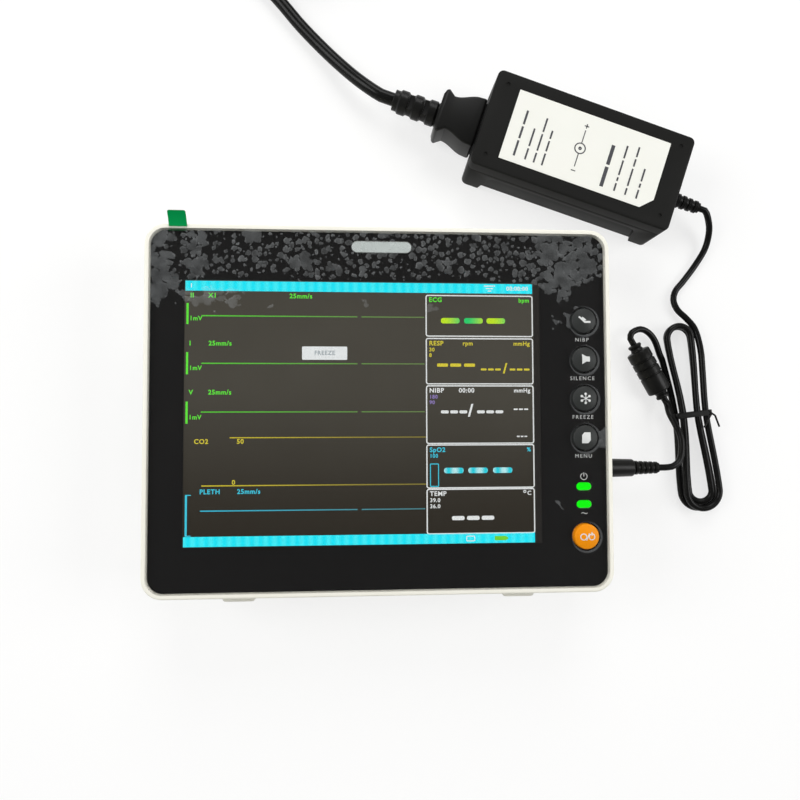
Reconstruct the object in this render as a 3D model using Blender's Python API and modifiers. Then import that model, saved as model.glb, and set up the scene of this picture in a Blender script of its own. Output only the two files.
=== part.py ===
"""Bedside patient monitor with an eight-inch screen, lying on its back, with its mains adapter and leads.

The monitor lies with its back on the table: +X runs to its right, +Y to its top edge and +Z out of the
screen.
The origin is under the middle of the housing, on the table.
"""

import math

import bmesh
import bpy
from mathutils import Matrix, Vector

MM = 0.001

# Clearances, and how far joined shapes reach into each other
GAP = 0.3 * MM
KEY_GAP = 0.35 * MM
CABLE_GAP = 0.5 * MM
WELL_GAP = 0.6 * MM
TABLE_GAP = 0.05 * MM
LAP = 2 * MM
EDGE = 1 * MM

# Facets of round forms
CORNER_STEPS = 4
PILL_STEPS = 3
ROUND_STEPS = 2
SIDES = 18
SMALL_SIDES = 10
RIB_SIDES = 12

# Screen: an eight-inch panel, from which the housing takes its size
SCREEN_WIDTH = 162 * MM
SCREEN_HEIGHT = 122 * MM
LCD_SIDE = 10.5 * MM
LCD_END = 9.5 * MM
LCD_DEPTH = 6.2 * MM
LCD_SKIN = 0.8 * MM
LCD_BORDER = 1.5 * MM

# Housing
LEFT_MARGIN = 17.7 * MM
RIGHT_MARGIN = 36.3 * MM
TOP_MARGIN = 25.3 * MM
LOW_MARGIN = 22.7 * MM
HOUSING_DEPTH = 52 * MM
HOUSING_CORNER = 9.5 * MM
BACK_ROUND = 7 * MM
RIM_WIDTH = 2 * MM
RIM_ROUND = 0.9 * MM
WALL = 2.2 * MM
FLOOR = 3.2 * MM
PARTING = 30 * MM

# Stack behind the front face
PANEL_SINK = 0.8 * MM
LENS_THICK = 1.8 * MM
SHEET_THICK = 0.3 * MM
FILM_THICK = 0.25 * MM
WEB = 2.2 * MM

# Pull tab of the protective film
TAB_INSET = 13.9 * MM
TAB_WIDTH = 7.6 * MM
TAB_REACH = 6.3 * MM
TAB_OVERLAP = 1.2 * MM

# Keys and lamps, one column right of the screen
COLUMN_INSET = 13 * MM
FIRST_KEY_Y = 41.6 * MM
KEY_PITCH = 18.33 * MM
POWER_KEY_Y = -59.3 * MM
KEY_RADIUS = 5.8 * MM
POWER_KEY_RADIUS = 5.8 * MM
KEY_RISE = 1.5 * MM
KEY_CROWN = 0.7 * MM
KEY_EDGE = 0.5 * MM
KEY_FLANGE = 1.2 * MM
KEY_FLANGE_THICK = 1.2 * MM
KEY_TRAVEL = 0.8 * MM
STEM_RADIUS = 1.5 * MM
STEM_LENGTH = 2.6 * MM
SWITCH_SIZE = 6.2 * MM
SWITCH_HEIGHT = 3.5 * MM
SWITCH_AIR = 0.4 * MM
FIRST_LAMP_Y = -36.3 * MM
LAMP_PITCH = 8.3 * MM
LAMP_WIDTH = 6.7 * MM
LAMP_HEIGHT = 3.1 * MM
ALARM_INSET = 8.9 * MM
ALARM_WIDTH = 28 * MM
ALARM_HEIGHT = 5.2 * MM

# Boards
BOARD = 1.6 * MM
KEY_BOARD_WIDTH = 16 * MM
KEY_BOARD_TOP_MARGIN = 14.4 * MM
KEY_BOARD_LOW_MARGIN = 12.9 * MM
BOARD_CORNER = 1.5 * MM
POST_RADIUS = 2.3 * MM
CHASSIS = 1.2 * MM
CHASSIS_X = -2 * MM
CHASSIS_SIDE = 11.5 * MM
CHASSIS_END = 6.5 * MM
CHASSIS_CORNER = 4 * MM
CHASSIS_POST_X = 45 * MM
CHASSIS_POST_INSET = 2.6 * MM
STANDOFF = 5 * MM
MAIN_BOARD_X = 31 * MM
MAIN_BOARD_WIDTH = 88 * MM
MEASURING_BOARD_X = -50 * MM
MEASURING_BOARD_WIDTH = 58 * MM
BOARDS_Y = -14 * MM
BOARDS_HEIGHT = 104 * MM
SHIELD_HEIGHT = 4.5 * MM
SHIELD_ROUND = 0.8 * MM
MAIN_SHIELD_WIDTH = 48 * MM
MAIN_SHIELD_HEIGHT = 60 * MM
MEASURING_SHIELD_WIDTH = 34 * MM
MEASURING_SHIELD_HEIGHT = 70 * MM

# Case screws
BOSS_SIDE = 18 * MM
BOSS_END = 8.5 * MM
BOSS_RADIUS = 3.5 * MM
PILLAR_RADIUS = 5 * MM
SCREW_SEAT = 4 * MM
SCREW_RADIUS = 1.5 * MM
SCREW_HEAD_RADIUS = 2.8 * MM
SCREW_HEAD = 2.2 * MM
SCREW_BITE = 8 * MM

# Feet
FOOT_SIDE = 40 * MM
FOOT_WIDTH = 20 * MM
FOOT_TIP = 15 * MM
FOOT_DROP = 6.3 * MM
FOOT_LENGTH = 20 * MM
FOOT_INSET = 1 * MM
PEG_RADIUS = 2.5 * MM

# Battery and its door in the back
BATTERY_X = 22 * MM
BATTERY_Y = -28 * MM
BATTERY_WIDTH = 76 * MM
BATTERY_HEIGHT = 70 * MM
BATTERY_DEPTH = 20 * MM
BATTERY_ROUND = 4 * MM
BAY_WALL = 1.6 * MM
BAY_DEPTH = 18 * MM
DOOR_SIDE = 11 * MM
DOOR_END = 4 * MM
DOOR = 1.8 * MM
DOOR_CORNER = 4 * MM
DOOR_SCREW_INSET = 6 * MM
DOOR_SCREW_HEAD = 0.8 * MM
DOOR_SCREW_BITE = 6 * MM

# Cuff pump, valve and air tubes
PUMP_X = -53 * MM
PUMP_Y = 56 * MM
PUMP_LENGTH = 54 * MM
PUMP_RADIUS = 13.5 * MM
PUMP_LIFT = 1.3 * MM
MOTOR_RADIUS = 12 * MM
MOTOR_LENGTH = 31 * MM
NOZZLE_RADIUS = 1.6 * MM
NOZZLE_LENGTH = 4 * MM
TUBE_WALL = 1.3 * MM
VALVE_WIDTH = 18 * MM
VALVE_HEIGHT = 14 * MM
VALVE_RISE = 5 * MM
VALVE_SHIFT = 7 * MM
CRADLE = 3 * MM

# Loudspeaker
SPEAKER_X = -62 * MM
SPEAKER_Y = -52 * MM
SPEAKER_RADIUS = 18 * MM
SPEAKER_DEPTH = 9 * MM
MAGNET_RADIUS = 9 * MM
SPEAKER_RIM = 2 * MM
SLOT_MARGIN = 3 * MM
SLOT_COUNT = 7
SLOT_PITCH = 4 * MM
SLOT_WIDTH = 2 * MM

# Sensor sockets in the left wall
SOCKET_HEIGHT = 18 * MM
FIRST_SOCKET_Y = 24 * MM
SOCKET_PITCH = 23 * MM
CUFF_PORT_RADIUS = 6.5 * MM
OXYGEN_SOCKET_RADIUS = 7 * MM
HEART_SOCKET_RADIUS = 8 * MM
HEAT_SOCKET_RADIUS = 5 * MM
SOCKET_WALL = 1.6 * MM
SOCKET_SINK = 0.5 * MM
SOCKET_RECESS = 8 * MM
SOCKET_LENGTH = 14 * MM
SOCKET_FLANGE = 1.2 * MM
SOCKET_FLANGE_THICK = 1.5 * MM
CONNECTOR_PANEL = 2.5 * MM
CONNECTOR_MARGIN = 10 * MM
CONNECTOR_HEIGHT = 20.4 * MM
CONNECTOR_LAP = 1.4 * MM
CONNECTOR_CORNER = 2 * MM

# Direct-current jack in the right wall, and its plug
JACK_Y = -29.3 * MM
JACK_HEIGHT = 16 * MM
JACK_RADIUS = 4.9 * MM
JACK_BLOCK = 10 * MM
JACK_LENGTH = 14 * MM
JACK_BORE_RADIUS = 3.2 * MM
JACK_BORE = 10.5 * MM
JACK_PIN_RADIUS = 1 * MM
JACK_PIN_SINK = 3 * MM
POWER_BOARD_WIDTH = 24 * MM
POWER_BOARD_HEIGHT = 56 * MM
POWER_BOARD_INSET = 4 * MM
CHOKE_RADIUS = 6 * MM
CHOKE_HEIGHT = 7 * MM
PLUG_BARREL_RADIUS = 2.75 * MM
PLUG_BARREL = 8.5 * MM
PLUG_BORE_RADIUS = 1.4 * MM
PLUG_RADIUS = 5 * MM
PLUG_LENGTH = 23.5 * MM
PLUG_REAR_RADIUS = 4.5 * MM
RELIEF_LENGTH = 13 * MM
RELIEF_RADIUS = 3.6 * MM
RELIEF_TIP_RADIUS = 3.1 * MM
RELIEF_RIBS = 5
RELIEF_GROOVE = 0.6 * MM
RELIEF_NECK = 0.4 * MM

# Direct-current lead
LEAD_RADIUS = 1.7 * MM
FERRITE_RADIUS = 6.2 * MM
FERRITE_LENGTH = 24.5 * MM
FERRITE_NUB = 4 * MM
FERRITE_NUB_RADIUS = 3.6 * MM
FERRITE_GROOVE = 0.5 * MM
FERRITE_GROOVE_WIDTH = 1.2 * MM
FERRITE_X = 145.4 * MM
FERRITE_Y = 21.8 * MM
FERRITE_ANGLE = math.radians(119.2)
HANK_X = 168.6 * MM
HANK_Y = -1.5 * MM
HANK_ANGLE = math.radians(97)
HANK_TURNS = 2.607
HANK_START = 0.19
HANK_LENGTH = 104 * MM
HANK_WAIST = 7.8 * MM
HANK_LOBE = 10.4 * MM
HANK_STEP = 4.7 * MM
HANK_LAYER = 4.2 * MM
TIE_BAND = 3 * MM
TIE_THICK = 0.8 * MM
TIE_CORNER = 2 * MM
TIE_TAIL = 11 * MM

# Mains adapter
ADAPTER_X = 103.8 * MM
ADAPTER_Y = 132 * MM
ADAPTER_ANGLE = math.radians(-18.4)
ADAPTER_LENGTH = 107 * MM
ADAPTER_WIDTH = 51 * MM
ADAPTER_HEIGHT = 31 * MM
ADAPTER_PARTING = 22.5 * MM
ADAPTER_CORNER = 3 * MM
ADAPTER_ROUND = 1 * MM
ADAPTER_WALL = 2.2 * MM
ADAPTER_SIDE = 4.4 * MM
EAR_LENGTH = 12 * MM
SIDE_SINK = 2.4 * MM
SIDE_SINK_TOP = 19 * MM
SIDE_SINK_CORNER = 6 * MM
EAR_TAPER = 3 * MM
DIMPLE_RADIUS = 1.1 * MM
DIMPLE_DEPTH = 0.5 * MM
DIMPLE_INSET = 6.5 * MM
LABEL_X = 0.6 * MM
LABEL_WIDTH = 82 * MM
LABEL_HEIGHT = 37 * MM
LABEL_CHAMFER = 6 * MM
LABEL_THICK = 0.2 * MM
INLET_WIDTH = 27.6 * MM
INLET_HEIGHT = 19 * MM
INLET_LIFT = 2.8 * MM
INLET_DEPTH = 20 * MM
NOSE_WIDTH = 22.4 * MM
NOSE_HEIGHT = 14.6 * MM
NOSE_LENGTH = 15 * MM
PIN_PITCH = 7 * MM
PIN_WIDTH = 2 * MM
PIN_HEIGHT = 4 * MM
PIN_LENGTH = 13 * MM
PIN_RISE = 2 * MM
TRANSFORMER_LENGTH = 24 * MM
TRANSFORMER_WIDTH = 26 * MM
TRANSFORMER_SHIFT = 8 * MM
CAPACITOR_RADIUS = 7 * MM
CAPACITOR_INSET = 12 * MM
BOARD_END_ROOM = 3 * MM
GLAND_LENGTH = 18.5 * MM
GLAND_RADIUS = 4 * MM
GLAND_TIP_RADIUS = 3.3 * MM
GLAND_HEIGHT = 12 * MM
GLAND_FLANGE = 1.2 * MM
GLAND_ROOT = 1.5 * MM

# Coupler, mains lead, coil and mains plug
HEAD_WIDTH = 30 * MM
HEAD_NECK = 23 * MM
HEAD_COLLAR = 26 * MM
HEAD_LENGTH = 22.5 * MM
COLLAR_LENGTH = 4 * MM
HEAD_ROUND = 1 * MM
HEAD_LIP = 3 * MM
SLEEVE_LENGTH = 24 * MM
SLEEVE_RADIUS = 6.3 * MM
SLEEVE_TIP_RADIUS = 4.8 * MM
SLEEVE_RIBS = 3
SLEEVE_GROOVE = 1.3 * MM
SLEEVE_ROOT = 2 * MM
SLEEVE_ROOT_GROOVE = 1.5 * MM
MAINS_RADIUS = 3.4 * MM
COIL_X = -40 * MM
COIL_Y = 280 * MM
COIL_RADIUS = 48.5 * MM
COIL_STEP = 8.6 * MM
COIL_LAYER = 7.4 * MM
COIL_TURNS = 5.3625
COIL_START = math.radians(220.5)
COIL_TIE_ANGLE = math.radians(-40)
MAINS_PLUG_LENGTH = 34 * MM
MAINS_PLUG_WIDTH = 25 * MM
MAINS_PLUG_HEIGHT = 20.6 * MM
MAINS_PLUG_CORNER = 5 * MM
MAINS_PLUG_ROUND = 4 * MM
BLADE_PITCH = 12.7 * MM
BLADE_LENGTH = 16 * MM
BLADE_WIDTH = 6.3 * MM
BLADE_THICK = 1.5 * MM
EARTH_PIN_RADIUS = 2.4 * MM
EARTH_PIN_DROP = 11.9 * MM
BLADE_RISE = 4.5 * MM

# Sizes and places that follow from the screen and the housing
HOUSING_WIDTH = SCREEN_WIDTH + LEFT_MARGIN + RIGHT_MARGIN
HOUSING_HEIGHT = SCREEN_HEIGHT + TOP_MARGIN + LOW_MARGIN
HALF_WIDTH = HOUSING_WIDTH / 2
HALF_HEIGHT = HOUSING_HEIGHT / 2
SCREEN_X = (LEFT_MARGIN - RIGHT_MARGIN) / 2
SCREEN_Y = (LOW_MARGIN - TOP_MARGIN) / 2
LCD_WIDTH = SCREEN_WIDTH + 2 * LCD_SIDE
LCD_HEIGHT = SCREEN_HEIGHT + 2 * LCD_END
CHASSIS_WIDTH = LCD_WIDTH - 2 * CHASSIS_SIDE
CHASSIS_HEIGHT = HOUSING_HEIGHT - 2 * CHASSIS_END
TAB_X = TAB_INSET - HALF_WIDTH
COLUMN_X = HALF_WIDTH - COLUMN_INSET
ALARM_Y = HALF_HEIGHT - ALARM_INSET
BOSS_X = HALF_WIDTH - BOSS_SIDE
BOSS_Y = HALF_HEIGHT - BOSS_END
FOOT_X = HALF_WIDTH - FOOT_SIDE

# Heights that follow from the stack
PANEL_TOP = HOUSING_DEPTH - PANEL_SINK
LENS_LOW = PANEL_TOP - LENS_THICK
SHEET_TOP = LENS_LOW - GAP
SHEET_LOW = SHEET_TOP - SHEET_THICK
SEAT = SHEET_LOW - GAP
WEB_LOW = SEAT - WEB
FLANGE_TOP = WEB_LOW - GAP
FLANGE_LOW = FLANGE_TOP - KEY_FLANGE_THICK
SWITCH_TOP = FLANGE_LOW - KEY_TRAVEL - SWITCH_AIR
KEY_BOARD_TOP = SWITCH_TOP - SWITCH_HEIGHT
LCD_TOP = SHEET_LOW - GAP
LCD_LOW = LCD_TOP - LCD_DEPTH
CHASSIS_TOP = LCD_LOW - GAP
CHASSIS_LOW = CHASSIS_TOP - CHASSIS
BOARD_TOP = CHASSIS_LOW - STANDOFF - GAP
BOARD_LOW = BOARD_TOP - BOARD
SCREW_LEVEL = PARTING - SCREW_SEAT
INNER_CORNER = HOUSING_CORNER - WALL
PANEL_WIDTH = HOUSING_WIDTH - 2 * RIM_WIDTH - 2 * GAP
PANEL_HEIGHT = HOUSING_HEIGHT - 2 * RIM_WIDTH - 2 * GAP
PANEL_CORNER = HOUSING_CORNER - RIM_WIDTH - GAP
TINY = 1e-6

for old in list(bpy.data.objects):
    bpy.data.objects.remove(old, do_unlink=True)
PARTS = bpy.data.collections.new("patient_monitor")
TOOLS = bpy.data.collections.new("cutters")
bpy.context.scene.collection.children.link(PARTS)
bpy.context.scene.collection.children.link(TOOLS)


def as_tool(piece):
    """Keeps a shape as a cutter or a block to be joined on, out of the picture."""
    TOOLS.objects.link(piece)
    piece.hide_render = True
    piece.display_type = "WIRE"
    return piece


def from_form(name, form):
    """An object from a bmesh, with doubled points merged."""
    bmesh.ops.remove_doubles(form, verts=form.verts, dist=TINY)
    mesh = bpy.data.meshes.new(name)
    form.to_mesh(mesh)
    form.free()
    return as_tool(bpy.data.objects.new(name, mesh))


def slab(
    name, width, height, low, high, corner=0.0, centre=(0, 0), top_round=0.0, low_round=0.0, steps=CORNER_STEPS
):
    """A block between two heights, with rounded upright corners and rounded top and low edges."""
    form = bmesh.new()
    bmesh.ops.create_cube(form, size=1.0)
    bmesh.ops.scale(form, vec=(width, height, high - low), verts=form.verts)
    bmesh.ops.translate(form, vec=(centre[0], centre[1], (low + high) / 2), verts=form.verts)
    if corner > 0:
        upright = [e for e in form.edges if abs(e.verts[0].co.z - e.verts[1].co.z) > TINY]
        bmesh.ops.bevel(form, geom=upright, offset=corner, segments=steps, profile=0.5, affect="EDGES")
        bmesh.ops.remove_doubles(form, verts=form.verts, dist=TINY)
    for level, radius in ((high, top_round), (low, low_round)):
        if radius > 0:
            edges = [e for e in form.edges if all(abs(v.co.z - level) < TINY for v in e.verts)]
            bmesh.ops.bevel(
                form, geom=edges, offset=radius, segments=ROUND_STEPS, profile=0.5, affect="EDGES"
            )
    return from_form(name, form)


def pill(name, width, height, low, high, centre):
    """A block with half-round ends."""
    half = min(width, height) / 2
    return slab(name, width, height, low, high, corner=half, centre=centre, steps=PILL_STEPS)


def rod(name, radius, start, end, sides=SIDES):
    """A round bar between two points."""
    start = Vector(start)
    run = Vector(end) - start
    place = Matrix.Translation(start + run / 2) @ run.to_track_quat("Z", "Y").to_matrix().to_4x4()
    form = bmesh.new()
    bmesh.ops.create_cone(
        form, cap_ends=True, segments=sides, radius1=radius, radius2=radius, depth=run.length, matrix=place
    )
    return from_form(name, form)


def merge(name, pieces):
    """Several separate shapes as one object, so that one Boolean takes them all."""
    form = bmesh.new()
    for piece in pieces:
        form.from_mesh(piece.data)
        bpy.data.objects.remove(piece, do_unlink=True)
    return from_form(name, form)


def turned(name, profile, sides=SIDES):
    """A shape turned about local Z. The profile holds (radius, height) points, down the outer side."""
    mesh = bpy.data.meshes.new(name)
    closed = profile[0][0] > 0 and profile[-1][0] > 0
    edges = [(i, i + 1) for i in range(len(profile) - 1)]
    if closed:
        edges.append((len(profile) - 1, 0))
    mesh.from_pydata([(radius, 0.0, height) for radius, height in profile], edges, [])
    piece = as_tool(bpy.data.objects.new(name, mesh))
    spin = piece.modifiers.new("turn", "SCREW")
    spin.steps = sides
    spin.render_steps = sides
    spin.use_merge_vertices = True
    spin.merge_threshold = TINY
    spin.use_smooth_shade = True
    return piece


def outlined(name, outline, low, high):
    """A flat outline in the XY plane, given thickness between two heights."""
    curve = bpy.data.curves.new(name, "CURVE")
    curve.dimensions = "2D"
    curve.fill_mode = "BOTH"
    curve.extrude = (high - low) / 2
    for loop in outline:
        spline = curve.splines.new("POLY")
        spline.points.add(len(loop) - 1)
        for point, (x, y) in zip(spline.points, loop):
            point.co = (x, y, 0.0, 1.0)
        spline.use_cyclic_u = True
    drawn = bpy.data.objects.new(name, curve)
    TOOLS.objects.link(drawn)
    solid = bpy.data.meshes.new_from_object(drawn.evaluated_get(bpy.context.evaluated_depsgraph_get()))
    bpy.data.objects.remove(drawn, do_unlink=True)
    form = bmesh.new()
    form.from_mesh(solid)
    bmesh.ops.translate(form, vec=(0.0, 0.0, (low + high) / 2), verts=form.verts)
    return from_form(name, form)


def arc(centre, radius, start, end, steps=CORNER_STEPS):
    """Points on a circular arc, angles in degrees."""
    turns = [math.radians(start + (end - start) * i / steps) for i in range(steps + 1)]
    return [(centre[0] + radius * math.cos(t), centre[1] + radius * math.sin(t)) for t in turns]


def fuse(piece, *tools):
    for tool in tools:
        step = piece.modifiers.new("fuse", "BOOLEAN")
        step.operation = "UNION"
        step.solver = "EXACT"
        step.object = tool


def carve(piece, *tools):
    for tool in tools:
        step = piece.modifiers.new("carve", "BOOLEAN")
        step.operation = "DIFFERENCE"
        step.solver = "EXACT"
        step.object = tool


def face(piece, direction, place):
    """Turns a piece so that its local Z looks along a direction, and puts its origin at a place."""
    piece.rotation_euler = Vector(direction).to_track_quat("Z", "Y").to_euler()
    piece.location = place
    return piece


def part(piece, colour, roughness, metallic=0.0):
    """Shows a finished piece, with a material of its own."""
    TOOLS.objects.unlink(piece)
    PARTS.objects.link(piece)
    piece.hide_render = False
    piece.display_type = "TEXTURED"
    skin = bpy.data.materials.new(piece.name)
    skin.use_nodes = True
    shader = skin.node_tree.nodes["Principled BSDF"]
    shader.inputs["Base Color"].default_value = (*colour, 1.0)
    shader.inputs["Roughness"].default_value = roughness
    shader.inputs["Metallic"].default_value = metallic
    piece.data.materials.append(skin)
    if piece.type == "MESH":
        piece.data.shade_smooth()
        piece.data.set_sharp_from_angle(angle=math.radians(35))
    return piece


CREAM = (0.90, 0.89, 0.82)
BLACK = (0.012, 0.012, 0.012)
DARK_KEY = (0.05, 0.05, 0.052)
ORANGE = (0.80, 0.28, 0.01)
GREEN = (0.02, 0.80, 0.05)
TAB_GREEN = (0.01, 0.26, 0.08)
STEEL = (0.55, 0.55, 0.56)
BOARD_GREEN = (0.02, 0.16, 0.06)
VINYL = (0.022, 0.022, 0.021)
CLEAR = (0.85, 0.87, 0.87)
GREY = (0.32, 0.33, 0.34)


# Places that several pieces share
KEYS = [
    ("nibp_button", FIRST_KEY_Y, KEY_RADIUS, DARK_KEY),
    ("silence_button", FIRST_KEY_Y - KEY_PITCH, KEY_RADIUS, DARK_KEY),
    ("freeze_button", FIRST_KEY_Y - 2 * KEY_PITCH, KEY_RADIUS, DARK_KEY),
    ("menu_button", FIRST_KEY_Y - 3 * KEY_PITCH, KEY_RADIUS, DARK_KEY),
    ("power_button", POWER_KEY_Y, POWER_KEY_RADIUS, ORANGE),
]
LAMPS = [("power_lamp_lens", FIRST_LAMP_Y), ("mains_lamp_lens", FIRST_LAMP_Y - LAMP_PITCH)]
BOSSES = [(x, y) for x in (-BOSS_X, BOSS_X) for y in (-BOSS_Y, BOSS_Y)]
CHASSIS_POSTS = [
    (x, side * (CHASSIS_HEIGHT / 2 - CHASSIS_POST_INSET))
    for x in (CHASSIS_X - CHASSIS_POST_X, CHASSIS_X + CHASSIS_POST_X)
    for side in (-1, 1)
]
KEY_BOARD_HIGH_Y = FIRST_KEY_Y + KEY_BOARD_TOP_MARGIN
KEY_BOARD_LOW_Y = POWER_KEY_Y - KEY_BOARD_LOW_MARGIN
KEY_POSTS = [
    KEY_BOARD_HIGH_Y - POST_RADIUS - GAP,
    (FIRST_LAMP_Y + FIRST_KEY_Y - 3 * KEY_PITCH) / 2,
    KEY_BOARD_LOW_Y + POST_RADIUS + GAP,
]


def key_holes(clearance, low, high):
    """One round cutter for each key."""
    holes = [
        rod("hole", radius + clearance, (COLUMN_X, y, low), (COLUMN_X, y, high)) for _, y, radius, _ in KEYS
    ]
    return merge("key_holes", holes)


def lamp_holes(clearance, low, high):
    """Pill-shaped cutters for the two lamps and the alarm light bar."""
    wide = 2 * clearance
    holes = [
        pill("hole", LAMP_WIDTH + wide, LAMP_HEIGHT + wide, low, high, (COLUMN_X, y)) for _, y in LAMPS
    ]
    holes.append(pill("hole", ALARM_WIDTH + wide, ALARM_HEIGHT + wide, low, high, (0.0, ALARM_Y)))
    return merge("lamp_holes", holes)


# Front frame: the white rim, the web that carries the panel, and the bosses for screws and boards
front_frame = slab(
    "front_frame",
    HOUSING_WIDTH,
    HOUSING_HEIGHT,
    PARTING + GAP,
    HOUSING_DEPTH,
    corner=HOUSING_CORNER,
    top_round=RIM_ROUND,
)
panel_recess = slab(
    "panel_recess",
    HOUSING_WIDTH - 2 * RIM_WIDTH,
    HOUSING_HEIGHT - 2 * RIM_WIDTH,
    SEAT,
    HOUSING_DEPTH + WALL,
    corner=HOUSING_CORNER - RIM_WIDTH,
)
frame_cavity = slab(
    "frame_cavity",
    HOUSING_WIDTH - 2 * WALL,
    HOUSING_HEIGHT - 2 * WALL,
    PARTING - WALL,
    WEB_LOW,
    corner=INNER_CORNER,
)
post_top = SEAT - WEB / 2
frame_posts = [
    rod("post", BOSS_RADIUS, (x, y, PARTING + GAP), (x, y, post_top), SMALL_SIDES) for x, y in BOSSES
]
frame_posts += [
    rod("post", POST_RADIUS, (x, y, CHASSIS_TOP + GAP), (x, y, post_top), SMALL_SIDES)
    for x, y in CHASSIS_POSTS
]
frame_posts += [
    rod("post", POST_RADIUS, (COLUMN_X, y, KEY_BOARD_TOP + GAP), (COLUMN_X, y, post_top), SMALL_SIDES)
    for y in KEY_POSTS
]
pilot_end = PARTING + SCREW_BITE + LAP
lcd_window = slab(
    "lcd_window",
    LCD_WIDTH + 2 * GAP,
    LCD_HEIGHT + 2 * GAP,
    WEB_LOW - WALL,
    SEAT + WALL,
    centre=(SCREEN_X, SCREEN_Y),
)
pilot_holes = merge(
    "pilot_holes",
    [
        rod("pilot", SCREW_RADIUS + GAP, (x, y, PARTING - WALL), (x, y, pilot_end), SMALL_SIDES)
        for x, y in BOSSES
    ],
)
carve(front_frame, panel_recess, frame_cavity, lcd_window)
fuse(front_frame, merge("frame_posts", frame_posts))
carve(front_frame, pilot_holes, key_holes(KEY_GAP, WEB_LOW - WALL, SEAT + WALL))
carve(front_frame, lamp_holes(GAP, WEB_LOW - WALL, SEAT + WALL))
part(front_frame, CREAM, 0.42)

# Clear lens over the whole front, with holes for the keys
front_lens = slab("front_lens", PANEL_WIDTH, PANEL_HEIGHT, LENS_LOW, PANEL_TOP, corner=PANEL_CORNER)
carve(front_lens, key_holes(KEY_GAP, LENS_LOW - WALL, PANEL_TOP + WALL))
part(front_lens, CLEAR, 0.05)

# Printed sheet behind the lens, black with windows for the screen, the lamps and the alarm light
graphic_sheet = slab("graphic_sheet", PANEL_WIDTH, PANEL_HEIGHT, SHEET_LOW, SHEET_TOP, corner=PANEL_CORNER)
screen_window = slab(
    "screen_window",
    SCREEN_WIDTH,
    SCREEN_HEIGHT,
    SHEET_LOW - WALL,
    SHEET_TOP + WALL,
    centre=(SCREEN_X, SCREEN_Y),
)
carve(graphic_sheet, screen_window, key_holes(KEY_GAP, SHEET_LOW - WALL, SHEET_TOP + WALL))
carve(graphic_sheet, lamp_holes(GAP, SHEET_LOW - WALL, SHEET_TOP + WALL))
part(graphic_sheet, BLACK, 0.3)

# Shipping film on the lens, cut out round the keys, and its green pull tab over the rim
FILM_LOW = PANEL_TOP + GAP
protective_film = slab(
    "protective_film", PANEL_WIDTH, PANEL_HEIGHT, FILM_LOW, FILM_LOW + FILM_THICK, corner=PANEL_CORNER
)
carve(protective_film, key_holes(KEY_GAP + GAP, FILM_LOW - WALL, HOUSING_DEPTH + WALL))
part(protective_film, CLEAR, 0.2)
TAB_START = PANEL_HEIGHT / 2 - TAB_OVERLAP
TAB_END = HALF_HEIGHT + TAB_REACH
pull_tab = slab(
    "pull_tab",
    TAB_WIDTH,
    TAB_END - TAB_START,
    HOUSING_DEPTH + GAP,
    HOUSING_DEPTH + GAP + FILM_THICK,
    centre=(TAB_X, (TAB_START + TAB_END) / 2),
)
part(pull_tab, TAB_GREEN, 0.45)


def light_pipe(name, width, height, centre, colour):
    """A pill-shaped light pipe, held by a flange behind the web."""
    pipe = pill(name, width, height, FLANGE_LOW, SHEET_TOP, centre)
    wide = 2 * KEY_FLANGE
    fuse(pipe, pill("flange", width + wide, height + wide, FLANGE_LOW, FLANGE_TOP, centre))
    return part(pipe, colour, 0.25)


for lamp_name, lamp_y in LAMPS:
    light_pipe(lamp_name, LAMP_WIDTH, LAMP_HEIGHT, (COLUMN_X, lamp_y), GREEN)
light_pipe("alarm_light_bar", ALARM_WIDTH, ALARM_HEIGHT, (0.0, ALARM_Y), CLEAR)


def key(name, y, radius, colour):
    """A domed key with a flange that the web holds back and a stem that works its switch."""
    side_top = PANEL_TOP + KEY_RISE
    crown = [
        (radius * share, side_top + KEY_CROWN * (1 - share * share) + KEY_EDGE * (1 - share))
        for share in (0, 0.45, 0.75)
    ]
    profile = crown + [
        (radius - KEY_EDGE, side_top),
        (radius, side_top - KEY_EDGE),
        (radius, FLANGE_TOP),
        (radius + KEY_FLANGE, FLANGE_TOP),
        (radius + KEY_FLANGE, FLANGE_LOW),
        (STEM_RADIUS, FLANGE_LOW),
        (STEM_RADIUS, FLANGE_LOW - STEM_LENGTH),
        (0.0, FLANGE_LOW - STEM_LENGTH),
    ]
    cap = turned(name, [(r, z - PANEL_TOP) for r, z in profile])
    cap.location = (COLUMN_X, y, PANEL_TOP)
    return part(cap, colour, 0.45)


for key_name, key_y, key_radius, key_colour in KEYS:
    key(key_name, key_y, key_radius, key_colour)

# Screen: a pressed steel frame round the glass and its backlight
lcd_frame = slab(
    "lcd_frame", LCD_WIDTH, LCD_HEIGHT, LCD_LOW, LCD_TOP, corner=EDGE, centre=(SCREEN_X, SCREEN_Y)
)
lcd_pocket = slab(
    "lcd_pocket",
    LCD_WIDTH - 2 * LCD_SKIN,
    LCD_HEIGHT - 2 * LCD_SKIN,
    LCD_LOW - WALL,
    LCD_TOP - LCD_SKIN,
    centre=(SCREEN_X, SCREEN_Y),
)
lcd_opening = slab(
    "lcd_opening",
    SCREEN_WIDTH + 2 * LCD_BORDER,
    SCREEN_HEIGHT + 2 * LCD_BORDER,
    LCD_TOP - 2 * LCD_SKIN,
    LCD_TOP + WALL,
    centre=(SCREEN_X, SCREEN_Y),
)
carve(lcd_frame, lcd_pocket, lcd_opening)
part(lcd_frame, STEEL, 0.4, 1.0)
lcd_panel = slab(
    "lcd_panel",
    LCD_WIDTH - 2 * LCD_SKIN - 2 * GAP,
    LCD_HEIGHT - 2 * LCD_SKIN - 2 * GAP,
    LCD_LOW,
    LCD_TOP - LCD_SKIN - GAP,
    centre=(SCREEN_X, SCREEN_Y),
)
part(lcd_panel, BLACK, 0.15)

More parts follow.
